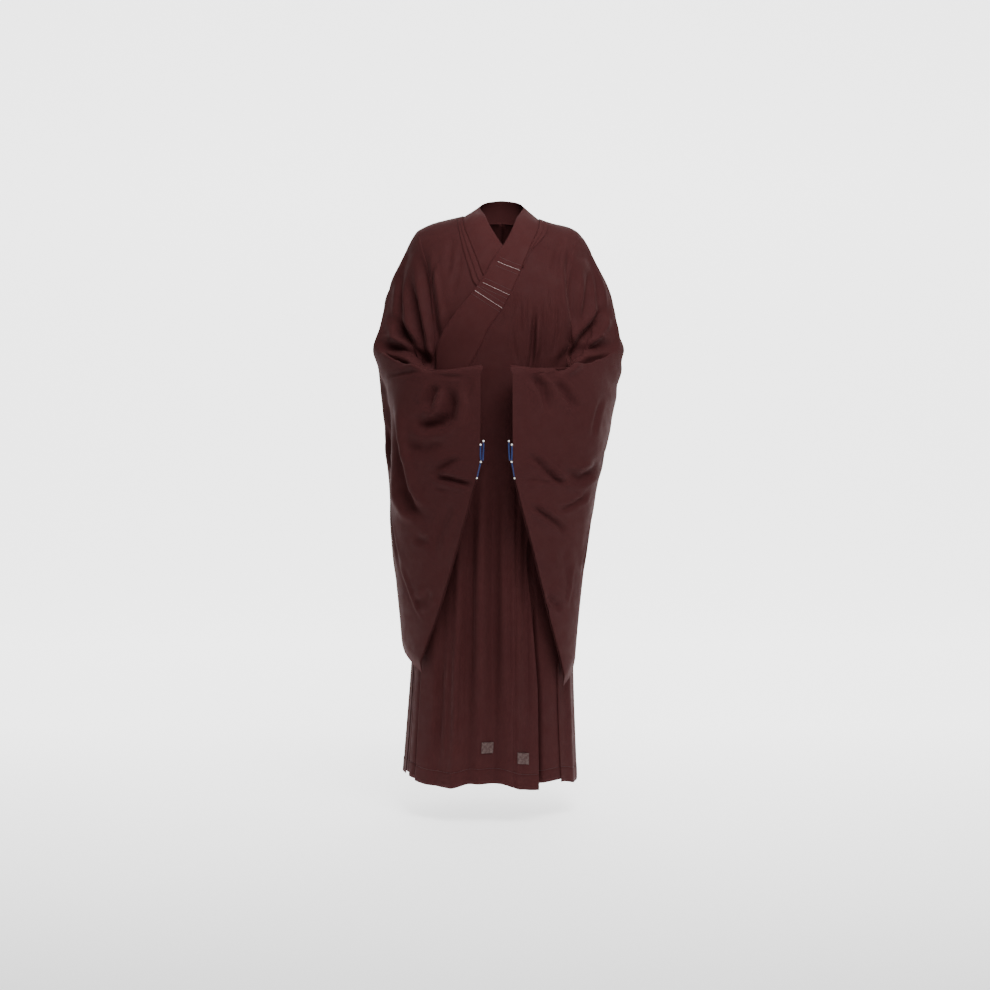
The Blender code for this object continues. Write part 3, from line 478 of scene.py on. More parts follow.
# Creases placed on each side, in millimetres: half width, depth (minus is a valley, plus a ridge),
# then across and height (or, on the left and right sides, depth and height) of the points along it
BODY_CREASES = {"front": (
    (8.8, -10.1, (-164, -65), (-152, -120), (-141, -186), (-133, -240), (-126, -283), (-119, -328)),
    (4.7, -4.3, (-131, -103), (-137, -125), (-146, -155)),
    (10.9, -5.8, (-86, -214), (-108, -244), (-119, -276)),
    (8.8, -10.1, (159, -61), (159, -121), (163, -179), (172, -226), (170, -267)),
    (8.5, -4.5, (153, -258), (170, -287), (148, -309), (124, -337)),
    (4.4, -5.8, (84, -194), (82, -250), (79, -298), (73, -345)),
    (6.2, 4, (91, -224), (90, -272), (87, -319)),
    (2.5, -2.4, (43, -173), (38, -203), (33, -233)),
    (2.5, -2.6, (53, -168), (54, -218), (55, -272)),
    (2.2, -1.9, (67, -175), (65, -207), (65, -242)),
    (2.8, -2.6, (22, -203), (14, -233), (11, -267)),
    (2.2, -1.6, (114, -166), (115, -190), (116, -218)),
    (3.1, -2.9, (35, -239), (38, -282), (50, -332)),
    (2.5, -1.9, (102, -179), (99, -218), (102, -261)),
    (3.4, -2.6, (130, -186), (132, -250), (124, -307)),
    (7.8, -3.2, (141, -46), (133, -88), (124, -132)),
    (7.8, -2.4, (-96, -37), (-100, -88), (-106, -142)),
    (6.2, -2.6, (-74, -66), (-82, -117), (-100, -186)),
    (11, -6, (-60, -620), (-63, -850), (-66, -1150)),
    (8.5, 3, (-34, -560), (-36, -800), (-34, -1080)),
    (6.5, -2.2, (22, -600), (28, -850), (34, -1120)),
    (7, -2.8, (66, -780), (70, -980), (72, -1180)),
    (12.5, -6, (-4, -500), (-7, -800), (-7, -1160)),
    (10, 3.4, (44, -600), (47, -900), (47, -1130)),
    (6.9, -4.3, (-118, -940), (-124, -1080), (-130, -1210)),
    (5.7, 3.5, (-85, -900), (-90, -1040), (-92, -1200)),
), "back": (
    (8, -7.2, (-150, -80), (-160, -170), (-150, -260), (-120, -350)),
    (8, -7.2, (165, -80), (172, -160), (168, -250), (140, -340)),
    (6.9, -4.3, (-135, -130), (-100, -220), (-85, -330)),
    (6.9, -4.6, (150, -140), (112, -230), (100, -320)),
    (10.3, -3.5, (-60, -50), (-20, -90), (40, -95), (90, -55)),
    (8, -4.1, (-172, -370), (-120, -400), (-60, -395)),
    (8, -4.1, (172, -360), (120, -410), (55, -420)),
    (6.9, -4.3, (30, -300), (40, -480), (36, -700)),
)}
RIGHT_SLEEVE_CREASES = {"front": (
    (8.3, -9.9, (-172, -69), (-160, -125), (-149, -192), (-139, -251), (-134, -303), (-123, -339)),
    (8.5, -11.5, (-199, -124), (-183, -186), (-168, -251), (-153, -305), (-128, -341)),
    (10.5, -16.5, (-235, -212), (-211, -249), (-181, -288), (-155, -316), (-124, -341)),
    (9, -15, (-265, -289), (-239, -287), (-209, -292), (-177, -307), (-144, -333)),
    (5.1, -4.9, (-247, -357), (-213, -346), (-177, -338), (-141, -339)),
    (12.5, -21.5, (-103, -364), (-96, -402), (-101, -432), (-121, -448), (-154, -454), (-181, -443)),
    (8.5, -13.5, (-128, -364), (-141, -392), (-152, -420)),
    (5.7, 4.9, (-117, -364), (-117, -398), (-128, -424), (-154, -433)),
    (15, -7.5, (-208, -481), (-183, -499), (-155, -502), (-111, -479)),
    (12, -19.5, (-238, -387), (-235, -444), (-230, -491), (-217, -546), (-206, -598),
     (-187, -632), (-156, -652), (-134, -655)),
    (6.2, -10, (-140, -558), (-114, -565), (-81, -572), (-47, -579)),
    (6, -9, (-140, -561), (-120, -544), (-101, -532), (-77, -519)),
    (2.8, -3.3, (-129, -591), (-118, -592), (-105, -593)),
    (8.5, -4.5, (-179, -698), (-163, -706), (-141, -706)),
    (3.4, 3.3, (-215, -759), (-194, -814), (-176, -861), (-156, -894)),
    (9, -5.8, (-140, -815), (-158, -840), (-185, -854)),
    (6.8, -2.9, (-55, -346), (-59, -376), (-68, -406)),
    (8.5, -4, (-191, -66), (-208, -119), (-222, -168)),
    (9, -6, (-94, -613), (-121, -680), (-144, -749)),
    (4.8, -2.6, (-119, -351), (-94, -348), (-68, -350)),
), "right": (
    (7.5, -6.6, (-20, -120), (-45, -200), (-75, -280)),
    (8.1, -6.6, (30, -140), (20, -230), (-10, -300)),
    (11, -6, (62, -250), (40, -310), (-10, -335)),
    (15, -2.8, (55, -360), (10, -385), (-50, -380), (-100, -360)),
    (11, -6.4, (45, -440), (30, -490), (-20, -545), (-90, -560)),
    (12, -6, (70, -420), (75, -540), (60, -660)),
    (8.8, -5.3, (-10, -600), (-60, -690), (-85, -790)),
    (8.8, -4.9, (20, -620), (10, -740), (-20, -830)),
), "back": (
    (8.1, -7.4, (-238, -180), (-222, -280), (-240, -360)),
    (9.4, -8.3, (-232, -400), (-212, -520), (-218, -640)),
    (8.8, -6.6, (-205, -240), (-192, -340), (-200, -450)),
    (8.8, -4.9, (-200, -600), (-190, -700), (-196, -800)),
)}
LEFT_SLEEVE_CREASES = {"front": (
    (8.3, -9.9, (167, -107), (169, -125), (172, -186), (173, -233), (174, -264)),
    (10.5, -17.5, (254, -190), (225, -229), (195, -268), (166, -301), (122, -339)),
    (9, -14.5, (266, -291), (229, -285), (192, -293), (157, -318), (119, -343)),
    (8, -8, (208, -102), (204, -164), (192, -225), (177, -272)),
    (8.5, -3.6, (168, -90), (204, -89), (224, -133)),
    (8, -13.5, (74, -340), (87, -355), (98, -372), (107, -394), (114, -430)),
    (8, -10.5, (128, -354), (146, -380), (161, -401), (176, -426)),
    (5.1, 4.4, (104, -349), (119, -366), (132, -390)),
    (6, -9.2, (66, -510), (90, -528), (112, -553), (129, -569), (162, -582)),
    (5.4, 4, (107, -525), (138, -558), (169, -600)),
    (6, -9.2, (71, -618), (101, -642), (130, -664), (159, -697)),
    (3.7, -2.7, (45, -567), (86, -569), (129, -576)),
    (10, -10, (146, -548), (182, -572), (222, -552), (220, -520)),
    (5.1, -5.8, (132, -642), (163, -630), (192, -615), (201, -595)),
    (7.5, -7, (108, -835), (115, -829), (147, -863)),
    (8.5, -3.6, (139, -715), (153, -762), (163, -820)),
    (3.4, 2.7, (169, -753), (165, -809), (154, -868)),
    (5.1, -4.9, (234, -392), (219, -434), (208, -488)),
), "left": (
    (7.5, -6.9, (-15, -110), (-40, -190), (-70, -270)),
    (8.1, -6.3, (35, -130), (22, -220), (-15, -295)),
    (11, -6, (60, -240), (36, -305), (-20, -330)),
    (15, -2.8, (50, -350), (5, -378), (-55, -372), (-105, -352)),
    (11, -6, (45, -430), (20, -480), (-30, -530), (-100, -552)),
    (12, -6, (66, -410), (70, -520), (52, -640)),
    (8.8, -5.3, (-15, -610), (-66, -700), (-90, -800)),
    (8.8, -4.9, (15, -600), (2, -720), (-26, -820)),
), "back": (
    (8.1, -7.4, (246, -170), (230, -270), (250, -350)),
    (9.4, -8.3, (240, -390), (216, -510), (220, -630)),
    (8.8, -6.3, (214, -230), (200, -330), (208, -440)),
    (8.8, -4.9, (196, -600), (188, -700), (186, -800)),
)}


# Sockets of the shader that hold constants
SOCKETS = {
    "base": "Base Color", "rough": "Roughness", "specular": "Specular IOR Level", "sheen": "Sheen Weight",
    "sheen_rough": "Sheen Roughness", "sheen_tint": "Sheen Tint", "glow": "Emission Color",
}


class Nodes:
    """Short ways to add and join the nodes of one material."""

    def __init__(self, tree):
        self.tree = tree

    def put(self, node, key, value):
        if isinstance(value, bpy.types.NodeSocket):
            self.tree.links.new(value, node.inputs[key])
        else:
            node.inputs[key].default_value = value

    def add(self, kind, output, values=None, **settings):
        """Output of a new node with values or links on its inputs."""
        node = self.tree.nodes.new("ShaderNode" + kind)
        for key, value in settings.items():
            setattr(node, key, value)
        for key, value in (values or {}).items():
            self.put(node, key, value)
        return node.outputs[output]

    def calc(self, operation, a, b=0.0):
        return self.add("Math", 0, {0: a, 1: b}, operation=operation)

    def average(self, a, b):
        return self.calc("MULTIPLY", self.calc("ADD", a, b), 0.5)

    def mix(self, share, a, b):
        return self.add("Mix", 2, {0: share, 6: (*a, 1.0) if isinstance(a, tuple) else a, 7: (*b, 1.0)},
                        data_type="RGBA")

    def ramp(self, value, low, high, first=0.0, last=1.0):
        return self.add("MapRange", 0, {0: value, 1: low, 2: high, 3: first, 4: last})

    def noise(self, vector, scale, detail):
        return self.add("TexNoise", "Fac", {"Vector": vector, "Scale": scale, "Detail": detail})

    def slubs(self, vector, size):
        """Uneven thickness of the threads, stretched along them."""
        return self.noise(self.add("Mapping", 0, {"Vector": vector, "Scale": size}), 1.0, 2.0)

    def threads(self, vector, pitch, direction):
        """Rounded threads side by side, a pitch in metres apart."""
        values = {"Vector": vector, "Scale": 2.0 * math.pi / (20.0 * pitch), "Distortion": 0.35,
                  "Detail": 1.0, "Detail Scale": 0.8}
        return self.add("TexWave", "Fac", values, bands_direction=direction)

    def bump(self, height, strength, distance):
        return self.add("Bump", 0, {"Height": height, "Strength": strength, "Distance": distance})


def paint(name, **constants):
    """A new material with constants on its shader, and the nodes to join to it."""
    material = bpy.data.materials.new(name)
    material.use_nodes = True
    shader = material.node_tree.nodes["Principled BSDF"]
    nodes = Nodes(material.node_tree)
    for key, value in constants.items():
        nodes.put(shader, SOCKETS[key], value)
    return material, shader, nodes


def make_cloth(name, dark, light):
    """Fine plain weave with slight slubs along the warp, soft mottling and a low sheen."""
    material, shader, nodes = paint(name, specular=0.09, sheen=0.05, sheen_rough=0.45,
                                    sheen_tint=(0.60, 0.26, 0.24, 1.0))
    flat = nodes.add("UVMap", 0)
    solid = nodes.add("TexCoord", "Object")
    weave = nodes.average(nodes.threads(flat, 0.00062, "X"), nodes.threads(flat, 0.00070, "Y"))
    streaks = nodes.average(nodes.slubs(flat, (700.0, 26.0, 1.0)), nodes.slubs(flat, (22.0, 600.0, 1.0)))
    mottle = nodes.noise(solid, 7.0, 4.0)
    rub = nodes.noise(solid, 38.0, 3.0)
    tone = nodes.calc("ADD", nodes.calc("MULTIPLY", mottle, 0.35), nodes.calc("MULTIPLY", streaks, 0.65))
    colour = nodes.mix(nodes.ramp(tone, 0.32, 0.68), dark, light)
    colour = nodes.mix(nodes.ramp(weave, 0.0, 1.0, 0.30, 0.0), colour, (0.010, 0.0024, 0.0027))
    nodes.put(shader, "Base Color", colour)
    nodes.put(shader, "Roughness", nodes.ramp(rub, 0.3, 0.7, 0.74, 0.90))
    height = nodes.calc("ADD", weave, nodes.calc("MULTIPLY", streaks, 0.6))
    nodes.put(shader, "Normal", nodes.bump(height, 0.35, 0.00016))
    return material


def make_gauze():
    """Open gauze of pale threads over the darker cloth."""
    material, shader, nodes = paint("patch_gauze", rough=0.85, specular=0.25)
    flat = nodes.add("UVMap", 0)
    net = nodes.calc("MAXIMUM", nodes.threads(flat, 0.0016, "X"), nodes.threads(flat, 0.0019, "Y"))
    wear = nodes.noise(flat, 150.0, 2.0)
    under = nodes.mix(nodes.ramp(wear, 0.35, 0.65), (0.030, 0.010, 0.010), (0.042, 0.018, 0.017))
    cover = nodes.calc("MULTIPLY", nodes.ramp(net, 0.45, 0.95), nodes.ramp(wear, 0.38, 0.62, 0.35, 1.0))
    nodes.put(shader, "Base Color", nodes.mix(cover, under, (0.108, 0.077, 0.071)))
    nodes.put(shader, "Normal", nodes.bump(net, 0.5, 0.0003))
    return material


def make_thread(name, dark, light):
    """Twisted thread or cord."""
    material, shader, nodes = paint(name, rough=0.6)
    fibre = nodes.noise(nodes.add("TexCoord", "Object"), 1400.0, 2.0)
    nodes.put(shader, "Base Color", nodes.mix(nodes.ramp(fibre, 0.35, 0.65), dark, light))
    nodes.put(shader, "Normal", nodes.bump(fibre, 0.3, 0.0002))
    return material


CLOTH = make_cloth("robe_cloth", (0.0345, 0.0085, 0.0091), (0.0450, 0.0117, 0.0117))
COLLAR_CLOTH = make_cloth("collar_cloth", (0.0390, 0.0098, 0.0103), (0.0500, 0.0130, 0.0130))
GAUZE = make_gauze()
CORD = make_thread("cord_blue", (0.0015, 0.007, 0.055), (0.003, 0.021, 0.115))
KNOT = make_thread("knot_white", (0.62, 0.61, 0.58), (0.84, 0.83, 0.80))
WHITE_THREAD = make_thread("thread_white", (0.36, 0.28, 0.27), (0.50, 0.42, 0.41))
TONE_THREAD = make_thread("thread_brown", (0.024, 0.0065, 0.0070), (0.044, 0.0130, 0.0130))
# Drops of the rows of the body's cloth, finer at the neck and beside the hem's stitch line
BODY_ROWS = np.concatenate([rows_of(0.0, 0.030, 0.005), rows_of(0.030, CROSSING, 0.008)[1:],
                            rows_of(CROSSING, BODY_LENGTH, ROW_STEP, (HEM_LINE,))[1:]])
LAP_ROWS = BODY_ROWS >= CROSSING
BODY_ACROSS = 96
LAP_ACROSS = 96
LAP_REACH = -57.6      # degrees that the outer front reaches round from the centre at the hem


def hem_step(drop):
    """Doubled cloth below the hem's stitch line, and the dimple of the stitches."""
    return 0.0007 * smooth((drop - HEM_LINE) / 0.002) - 0.0006 * np.exp(-((drop - HEM_LINE) / 0.0016) ** 2)


LEFT_SEAM = straight(LEFT_COLLAR_SEAM)
RIGHT_SEAM = straight(RIGHT_COLLAR_SEAM)


def left_inner(drop):
    """Inner edge of the left front: the collar's seam, then the line where the outer front goes on."""
    return np.where(drop <= CROSSING, LEFT_SEAM(drop), look(CENTRE_FRONT, drop))


def half_grids(front_inner, front_outer, back_inner, back_outer, lift):
    """Front and back of one side as grids, down the rows and outward."""
    grids = []
    for inner, outer, raised in ((front_inner, front_outer, lift), (back_inner, back_outer, None)):
        part = np.linspace(0.0, 1.0, BODY_ACROSS + 1)[None, :]
        drop = BODY_ROWS[:, None]
        angle = inner(drop) + (outer(drop) - inner(drop)) * part
        drop = np.broadcast_to(drop, angle.shape)
        up = raised(angle, drop) if raised else 0.0
        grids.append(on_body(angle, drop, up + hem_step(drop)))
    return grids


def make_half(name, cad, grids, side, lap=None):
    """Front and back of one side in one cloth, with the outer front grown on where it has one."""
    verts, faces, uvs = [], [], []
    for grid, sign in ((grids[0], side), (grids[1], -side), (lap, -1.0)):
        if grid is not None:
            faces += grid_faces(grid.shape[0], grid.shape[1], len(verts), flip=sign > 0)
            verts += list(grid.reshape(-1, 3))
            uvs += list(grid_uvs(grid))
    return cloth_piece(name, verts, faces, uvs, WALL, cad, CLOTH)


def follow(grid, edge, columns):
    """Bring a grid's first column onto an edge, and its next columns part of the way."""
    shift = edge - grid[:, 0]
    for c in range(columns):
        grid[:, c] += shift * (1.0 - smooth(c / columns))
    return grid


def make_sheet(name, cad, grid, material, wall=WALL, ring=False, flip=False):
    """One grid as a cloth piece."""
    faces = grid_faces(grid.shape[0], grid.shape[1], 0, ring, flip)
    return cloth_piece(name, grid.reshape(-1, 3), faces, grid_uvs(grid), wall, cad, material)


def lap_grid():
    """The outer front beyond the centre, from its seam with the collar to the hem."""
    share = np.linspace(0.0, 1.0, LAP_ACROSS + 1)[None, :]
    fall = ((BODY_ROWS[LAP_ROWS] - CROSSING) / (BODY_LENGTH - CROSSING))[:, None]
    start, top = lap_seam(share)
    drop = top + (BODY_LENGTH - top) * fall
    centre = LAP_SEAM[0][1]
    reach = start - centre
    reach = reach + (LAP_REACH * share - reach) * smooth(fall * 1.6)
    angle = look(CENTRE_FRONT, CROSSING + (BODY_LENGTH - CROSSING) * fall) + reach
    return on_body(angle, drop, lap_lift(share) + hem_step(drop))


def collar_marks():
    """Seam angle, drop and lift with the free edge, from the inner front round the neck to the side."""
    clear = 0.0012
    drop = np.linspace(0.310, 0.004, 60)
    parts = [(RIGHT_SEAM(drop), drop, collar_lift(drop), free_points(RIGHT_FREE_EDGE, drop, clear))]
    for table, sign, drop in ((RIGHT_BACK_NECK, -1.0, np.linspace(0.002, 0.030, 26)),
                              (LEFT_BACK_NECK, 1.0, np.linspace(0.0295, 0.002, 26))):
        x, y, z = (look(BACK_FREE_EDGE, drop, column) for column in (1, 2, 3))
        cover = 0.0035 * smooth((drop - 0.004) / 0.012)
        parts.append((look(table, drop), drop + cover, np.full(drop.shape, COLLAR_RISE),
                      np.stack([SECTIONS[0][1] + sign * x, y, z], -1)))
    drop = np.linspace(0.004, CROSSING, 50)
    seam = LEFT_SEAM(drop)
    over = LAP_LIFT * smooth((drop - 0.010) / 0.05)
    parts.append((seam, drop, left_lift(seam, drop) + collar_lift(drop),
                  free_points(LEFT_FREE_EDGE, drop, over + clear)))
    share = np.linspace(0.02, 1.0, 70)
    parts.append((*lap_seam(share), lap_lift(share), free_points(LAP_FREE_EDGE, share, LAP_LIFT)))
    return [np.concatenate([part[k] for part in parts]) for k in range(4)]


def lap_seam(share):
    """Angle and drop along the seam of the outer front with the collar."""
    drop = look(LAP_SEAM, share, 2)
    return angle_at(look(places(LAP_SEAM, 1, 2), share), drop), drop


def ease(points, times):
    """Even out a row of points, keeping its ends."""
    for _ in range(times):
        points = points.copy()
        points[1:-1] = 0.5 * points[1:-1] + 0.25 * (points[:-2] + points[2:])
    return points


def collar_grid(columns=21):
    """The band, a little arched between its seam and free edge and turned under at the seam."""
    angle, drop, lift, free = collar_marks()
    seam = ease(on_body(angle, drop, lift), 4)
    free = ease(free, 10)
    out = away(angle, drop)
    part = np.linspace(0.0, 1.0, columns)[None, :, None]
    grid = seam[:, None] + (free - seam)[:, None] * part
    grid = grid + out[:, None] * 0.0035 * np.sin(math.pi * part)
    turned = seam - out * (COLLAR_RISE + 0.0004)
    return np.concatenate([turned[:, None], grid], 1)


def on_across(x, drop, lift, front):
    """Points of the body's front or back at places across it."""
    drop = np.maximum(drop, 0.0)
    angle = angle_at(x, drop)
    return on_body(np.where(front, angle, turn(180.0 - angle)), drop, lift)


def strip_grid(far, height, columns=7):
    """A flat band on the panels along the collar's seam, as wide as a share of the table's width."""
    step = 0.004
    angle, drop, _, free = collar_marks()
    front = np.abs(angle) < 90.0
    covered = drop > np.where(angle < 0.0, 0.150, 0.118)
    keep = ~(front & covered)
    angle, drop, free, front = [v[keep] for v in (angle, drop, free, front)]
    back, inner, outer = (look(STRIP_WIDTHS, drop, column) for column in (1, 2, 3))
    width = np.where(front, np.where(angle < 0.0, inner, outer), back)
    x = bare(angle, drop)[:, 0]
    normal = away(angle, drop)
    side = on_body(angle, drop, 0.0) - free
    side = unit(side - normal * dot(side, normal)[:, None])
    by_x = (on_across(x + 0.001, drop, 0.0, front) - on_across(x - 0.001, drop, 0.0, front)) / 0.002
    upper, lower = np.maximum(drop - step, 0.0), drop + step
    by_drop = on_across(x, lower, 0.0, front) - on_across(x, upper, 0.0, front)
    by_drop = by_drop / (lower - upper)[:, None]
    steps = np.linalg.pinv(np.stack([by_x, by_drop], -1)) @ side[..., None]
    step_x, step_drop = ease(steps[:, 0, 0], 8), ease(steps[:, 1, 0], 8)
    rows = []
    for part in np.linspace(0.0, far, columns):
        reach = SEAM_GAP + width * part
        place, fall = x + step_x * reach, np.maximum(drop + step_drop * reach, 0.0)
        under = np.where((angle > 0.0) & front, left_lift(angle_at(place, fall), fall), 0.0)
        rows.append(on_across(place, fall, under + height, front))
    return np.stack(rows, 1)


def spline(a, b, c, d, t):
    """Smooth curve from b to c, with its neighbours a and d."""
    return 0.5 * ((2.0 * b) + (c - a) * t + (2.0 * a - 5.0 * b + 4.0 * c - d) * t * t
                  + (3.0 * b - a - 3.0 * c + d) * t ** 3)


def heading(degrees, side):
    """Level direction, in degrees round from the front."""
    a = math.radians(degrees)
    return np.array((math.sin(a) * side, -math.cos(a), 0.0))


def section_points(row, side):
    """The nine named points of a sleeve section, from a row of its table."""
    top, low, crook = np.array(row[:3]) / MM
    facing = row[3]
    out1, out2, in1, in2, front = np.array(row[4:]) / MM
    out = heading(facing, side)
    inward = heading(min(facing, 90), side)
    ahead = unit(heading(facing - 90.0, side) * 0.6 + np.array((0.0, -0.8, 0.0)))
    over = out * HEM_TURN
    return [
        top,
        top + (low - top) * 0.25 + out * out1,
        top + (low - top) * 0.65 + out * out2,
        low + over,
        low - over,
        low + (crook - low) * 0.35 + inward * in1,
        low + (crook - low) * 0.70 + inward * in2,
        crook,
        crook + (top - crook) * 0.5 + ahead * front,
    ]


def section_ring(marks):
    """Closed ring through the nine marks, with one sharp turn at the lower edge."""
    ring = []
    count = len(marks)
    for i in range(count):
        before = marks[4] * 1.5 - marks[5] * 0.5 if i == 4 else marks[i - 1]
        after = marks[3] * 1.5 - marks[2] * 0.5 if i == 2 else marks[(i + 2) % count]
        t = np.linspace(0.0, 1.0, RING_FINE[i], endpoint=False)[:, None]
        ring.append(spline(before, marks[i], marks[(i + 1) % count], after, t))
    return np.concatenate(ring)


def armhole_loop(front, back):
    """The armhole edge in the order of a sleeve section, a point for each of the ring's."""
    drops = np.array(BACK_DROPS + FRONT_DROPS)
    begins = np.concatenate([[0], np.cumsum(RING_STEPS)])
    loop = []
    for i, count in enumerate(RING_FINE):
        place = begins[i] + np.arange(count) / count * RING_STEPS[i]
        drop = np.interp(place, np.arange(len(drops)), drops)
        angle = look(back if i < OUTER_PARTS else front, drop)
        lift = np.where((angle > 0.0) & (angle < 90.0), left_lift(angle, drop), 0.0)
        loop.append(on_body(angle, drop, lift))
    return np.concatenate(loop)


def sleeve_grid(table, mouth, front, back, side, steps=16):
    """Rings from the armhole to the mouth, a number of steps from each section to the next."""
    loop = armhole_loop(front, back)
    first = loop[np.cumsum((0,) + RING_FINE[:-1])]
    fixed = section_ring(first)
    inside = first - np.array((side * 0.045, 0.0, 0.0))
    stations = [inside, first] + [section_points(row, side) for row in table]
    stations.append(stations[-1])
    last = len(stations) - 3
    grid = []
    for i in range(1, last + 1):
        for k in range(steps + 1 if i == last else steps):
            t = k / steps
            ring = section_ring([spline(*four, t) for four in zip(*stations[i - 1:i + 3])])
            if i == 1:
                ring = ring + (loop - fixed) * (1.0 - t) ** 2
            grid.append(ring)
    for j in range(steps * 5 // 3):
        grid[-1 - j] = close_mouth(grid[-1 - j], mouth, side, look(MOUTH_HOLD, j * 3.0 / steps))
    return np.array(grid)


def close_mouth(ring, mouth, side, weight):
    """Bring both layers of a section to the sewn edge below the hand slot."""
    flat = [(-z / MM, x / MM, y / MM) for z, x, y in mouth]
    height = ring[:, 2]
    outer = np.arange(len(ring)) <= sum(RING_FINE[:OUTER_PARTS])
    seam = np.stack([look(flat, -height, 1), look(flat, -height, 2), height], -1)
    goal = seam + heading(MOUTH_FACING, side) * np.where(outer, HEM_TURN, -HEM_TURN)[:, None]
    hold = smooth((height - mouth[1][0] / MM) / 0.05) * ~outer
    goal = goal + (ring - goal) * hold[:, None]
    return ring + (goal - ring) * weight


def make_body():
    """Both halves, the outer front and the gores, with the armhole edges for the sleeves."""
    left = half_grids(left_inner, joined(LEFT_FRONT_ARMHOLE, LEFT_FRONT_SIDE),
                      joined(LEFT_BACK_NECK), joined(LEFT_BACK_ARMHOLE, LEFT_BACK_SIDE), left_lift)
    right = half_grids(RIGHT_SEAM, joined(RIGHT_FRONT_ARMHOLE, RIGHT_FRONT_SIDE),
                       joined(RIGHT_BACK_NECK), joined(RIGHT_BACK_ARMHOLE, RIGHT_BACK_SIDE), right_lift)
    left = [crease(grid, BODY_CREASES, sign=sign) for grid, sign in zip(left, (1.0, -1.0))]
    right = [crease(grid, BODY_CREASES, sign=sign) for grid, sign in zip(right, (-1.0, 1.0))]
    for grids in (left, right):
        seam = (grids[0][0] + grids[1][0]) / 2.0
        for grid in grids:
            grid[0] = seam
    lap = follow(crease(lap_grid(), BODY_CREASES, sign=-1.0), left[0][LAP_ROWS][:, 0], 8)
    made = [
        make_half("outer_front_cloth", ("body_left", "overlap_front"), left, 1.0, lap),
        make_half("inner_front_cloth", ("body_right",), right, -1.0),
        make_gore("side_gore_left", LEFT_FRONT_SIDE, LEFT_BACK_SIDE, 1, 0.0190, 0.0014),
        make_gore("side_gore_right", RIGHT_FRONT_SIDE, RIGHT_BACK_SIDE, -1, 0.0060, 0.0006),
    ]
    low = int(np.searchsorted(BODY_ROWS, ARMPIT))
    edges = [np.concatenate([back[:low, -1], front[low::-1, -1]]) for front, back in (right, left)]
    return made, edges


def make_gore(name, front, back, side, sink, under):
    """Insert behind a side slit, which sinks beside the front's edge."""
    tuck = side * 9.0
    drop = rows_of(0.435, BODY_LENGTH - 0.006, ROW_STEP, (HEM_LINE,))[:, None]
    near = look(front, drop) - tuck
    far = look(back, drop) + tuck
    angle = near + (far - near) * np.linspace(0.0, 1.0, 49)[None, :]
    beside = (angle - look(front, drop) - side * 0.8) / 2.4
    lift = -WALL - under - sink * np.exp(-beside ** 2) + hem_step(drop)
    grid = on_body(angle, drop, lift)
    return make_sheet(name + "_cloth", (name,), grid, CLOTH, flip=side > 0)


def to_edge(grid, edge, rings=16):
    """Bring a sleeve's first rings onto the armhole that the body's folds have moved."""
    start, leg = edge[:-1], np.diff(edge, axis=0)
    gap = grid[0][:, None] - start[None]
    t = np.clip(dot(gap, leg) / dot(leg, leg), 0.0, 1.0)
    near = start + t[..., None] * leg
    best = np.argmin(np.linalg.norm(near - grid[0][:, None], axis=-1), axis=1)
    shift = near[np.arange(len(best)), best] - grid[0]
    for j in range(rings):
        grid[j] += shift * (1.0 - smooth(j / rings))
    return grid


def make_sleeves(edges):
    for edge, (name, table, mouth, front, back, side, creases) in zip(edges, (
            ("sleeve_right", RIGHT_SLEEVE, RIGHT_MOUTH, RIGHT_FRONT_ARMHOLE, RIGHT_BACK_ARMHOLE, -1.0,
             RIGHT_SLEEVE_CREASES),
            ("sleeve_left", LEFT_SLEEVE, LEFT_MOUTH, LEFT_FRONT_ARMHOLE, LEFT_BACK_ARMHOLE, 1.0,
             LEFT_SLEEVE_CREASES))):
        grid = crease(sleeve_grid(table, mouth, front, back, side), creases, True, side)
        make_sheet(name + "_cloth", (name, name + "_lower"), to_edge(grid, edge), CLOTH,
                   ring=True, flip=side > 0.0)


def make_collar():
    """The band and the two strips that show beside it."""
    band = make_sheet("collar_band_cloth", ("collar_band",), collar_grid(), COLLAR_CLOTH)
    for name, far, height in (("collar_strip_outer", 2.0, 0.0019), ("collar_strip_mid", 1.0, 0.0033)):
        grid = strip_grid(far, height)
        make_sheet(name + "_cloth", (name,), grid, COLLAR_CLOTH, STRIP_WALL, flip=True)
    return band


def sweep(rings):
    """Vertices and faces of a closed tube through rings of points."""
    count = len(rings[0])
    verts = [point for ring in rings for point in ring]
    faces = grid_faces(len(rings), count, ring=True)
    faces += [tuple(range(count))[::-1], tuple(range(len(verts) - count, len(verts)))]
    return verts, faces


def frame_of(way):
    """Two directions square to a way."""
    side = unit(np.cross(way, (0.0, 0.0, 1.0) if abs(way[2]) < 0.9 else (0.0, 1.0, 0.0)))
    return side, np.cross(way, side)


def circle(count):
    return np.linspace(0.0, 2.0 * math.pi, count, endpoint=False)


def spokes(around, side, other):
    """Directions at angles round an axis, from two directions square to it."""
    return np.cos(around)[:, None] * side + np.sin(around)[:, None] * other


def solid_piece(name, parts, material, cad=()):
    """One piece from several closed meshes."""
    verts, faces = [], []
    for some, these in parts:
        faces += [tuple(i + len(verts) for i in face) for face in these]
        verts += some
    obj = new_object(name, verts, faces, material)
    rework(obj.data, lambda bm: bmesh.ops.recalc_face_normals(bm, faces=bm.faces))
    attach(obj, "root")
    if cad:
        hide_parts(*cad)
    return obj


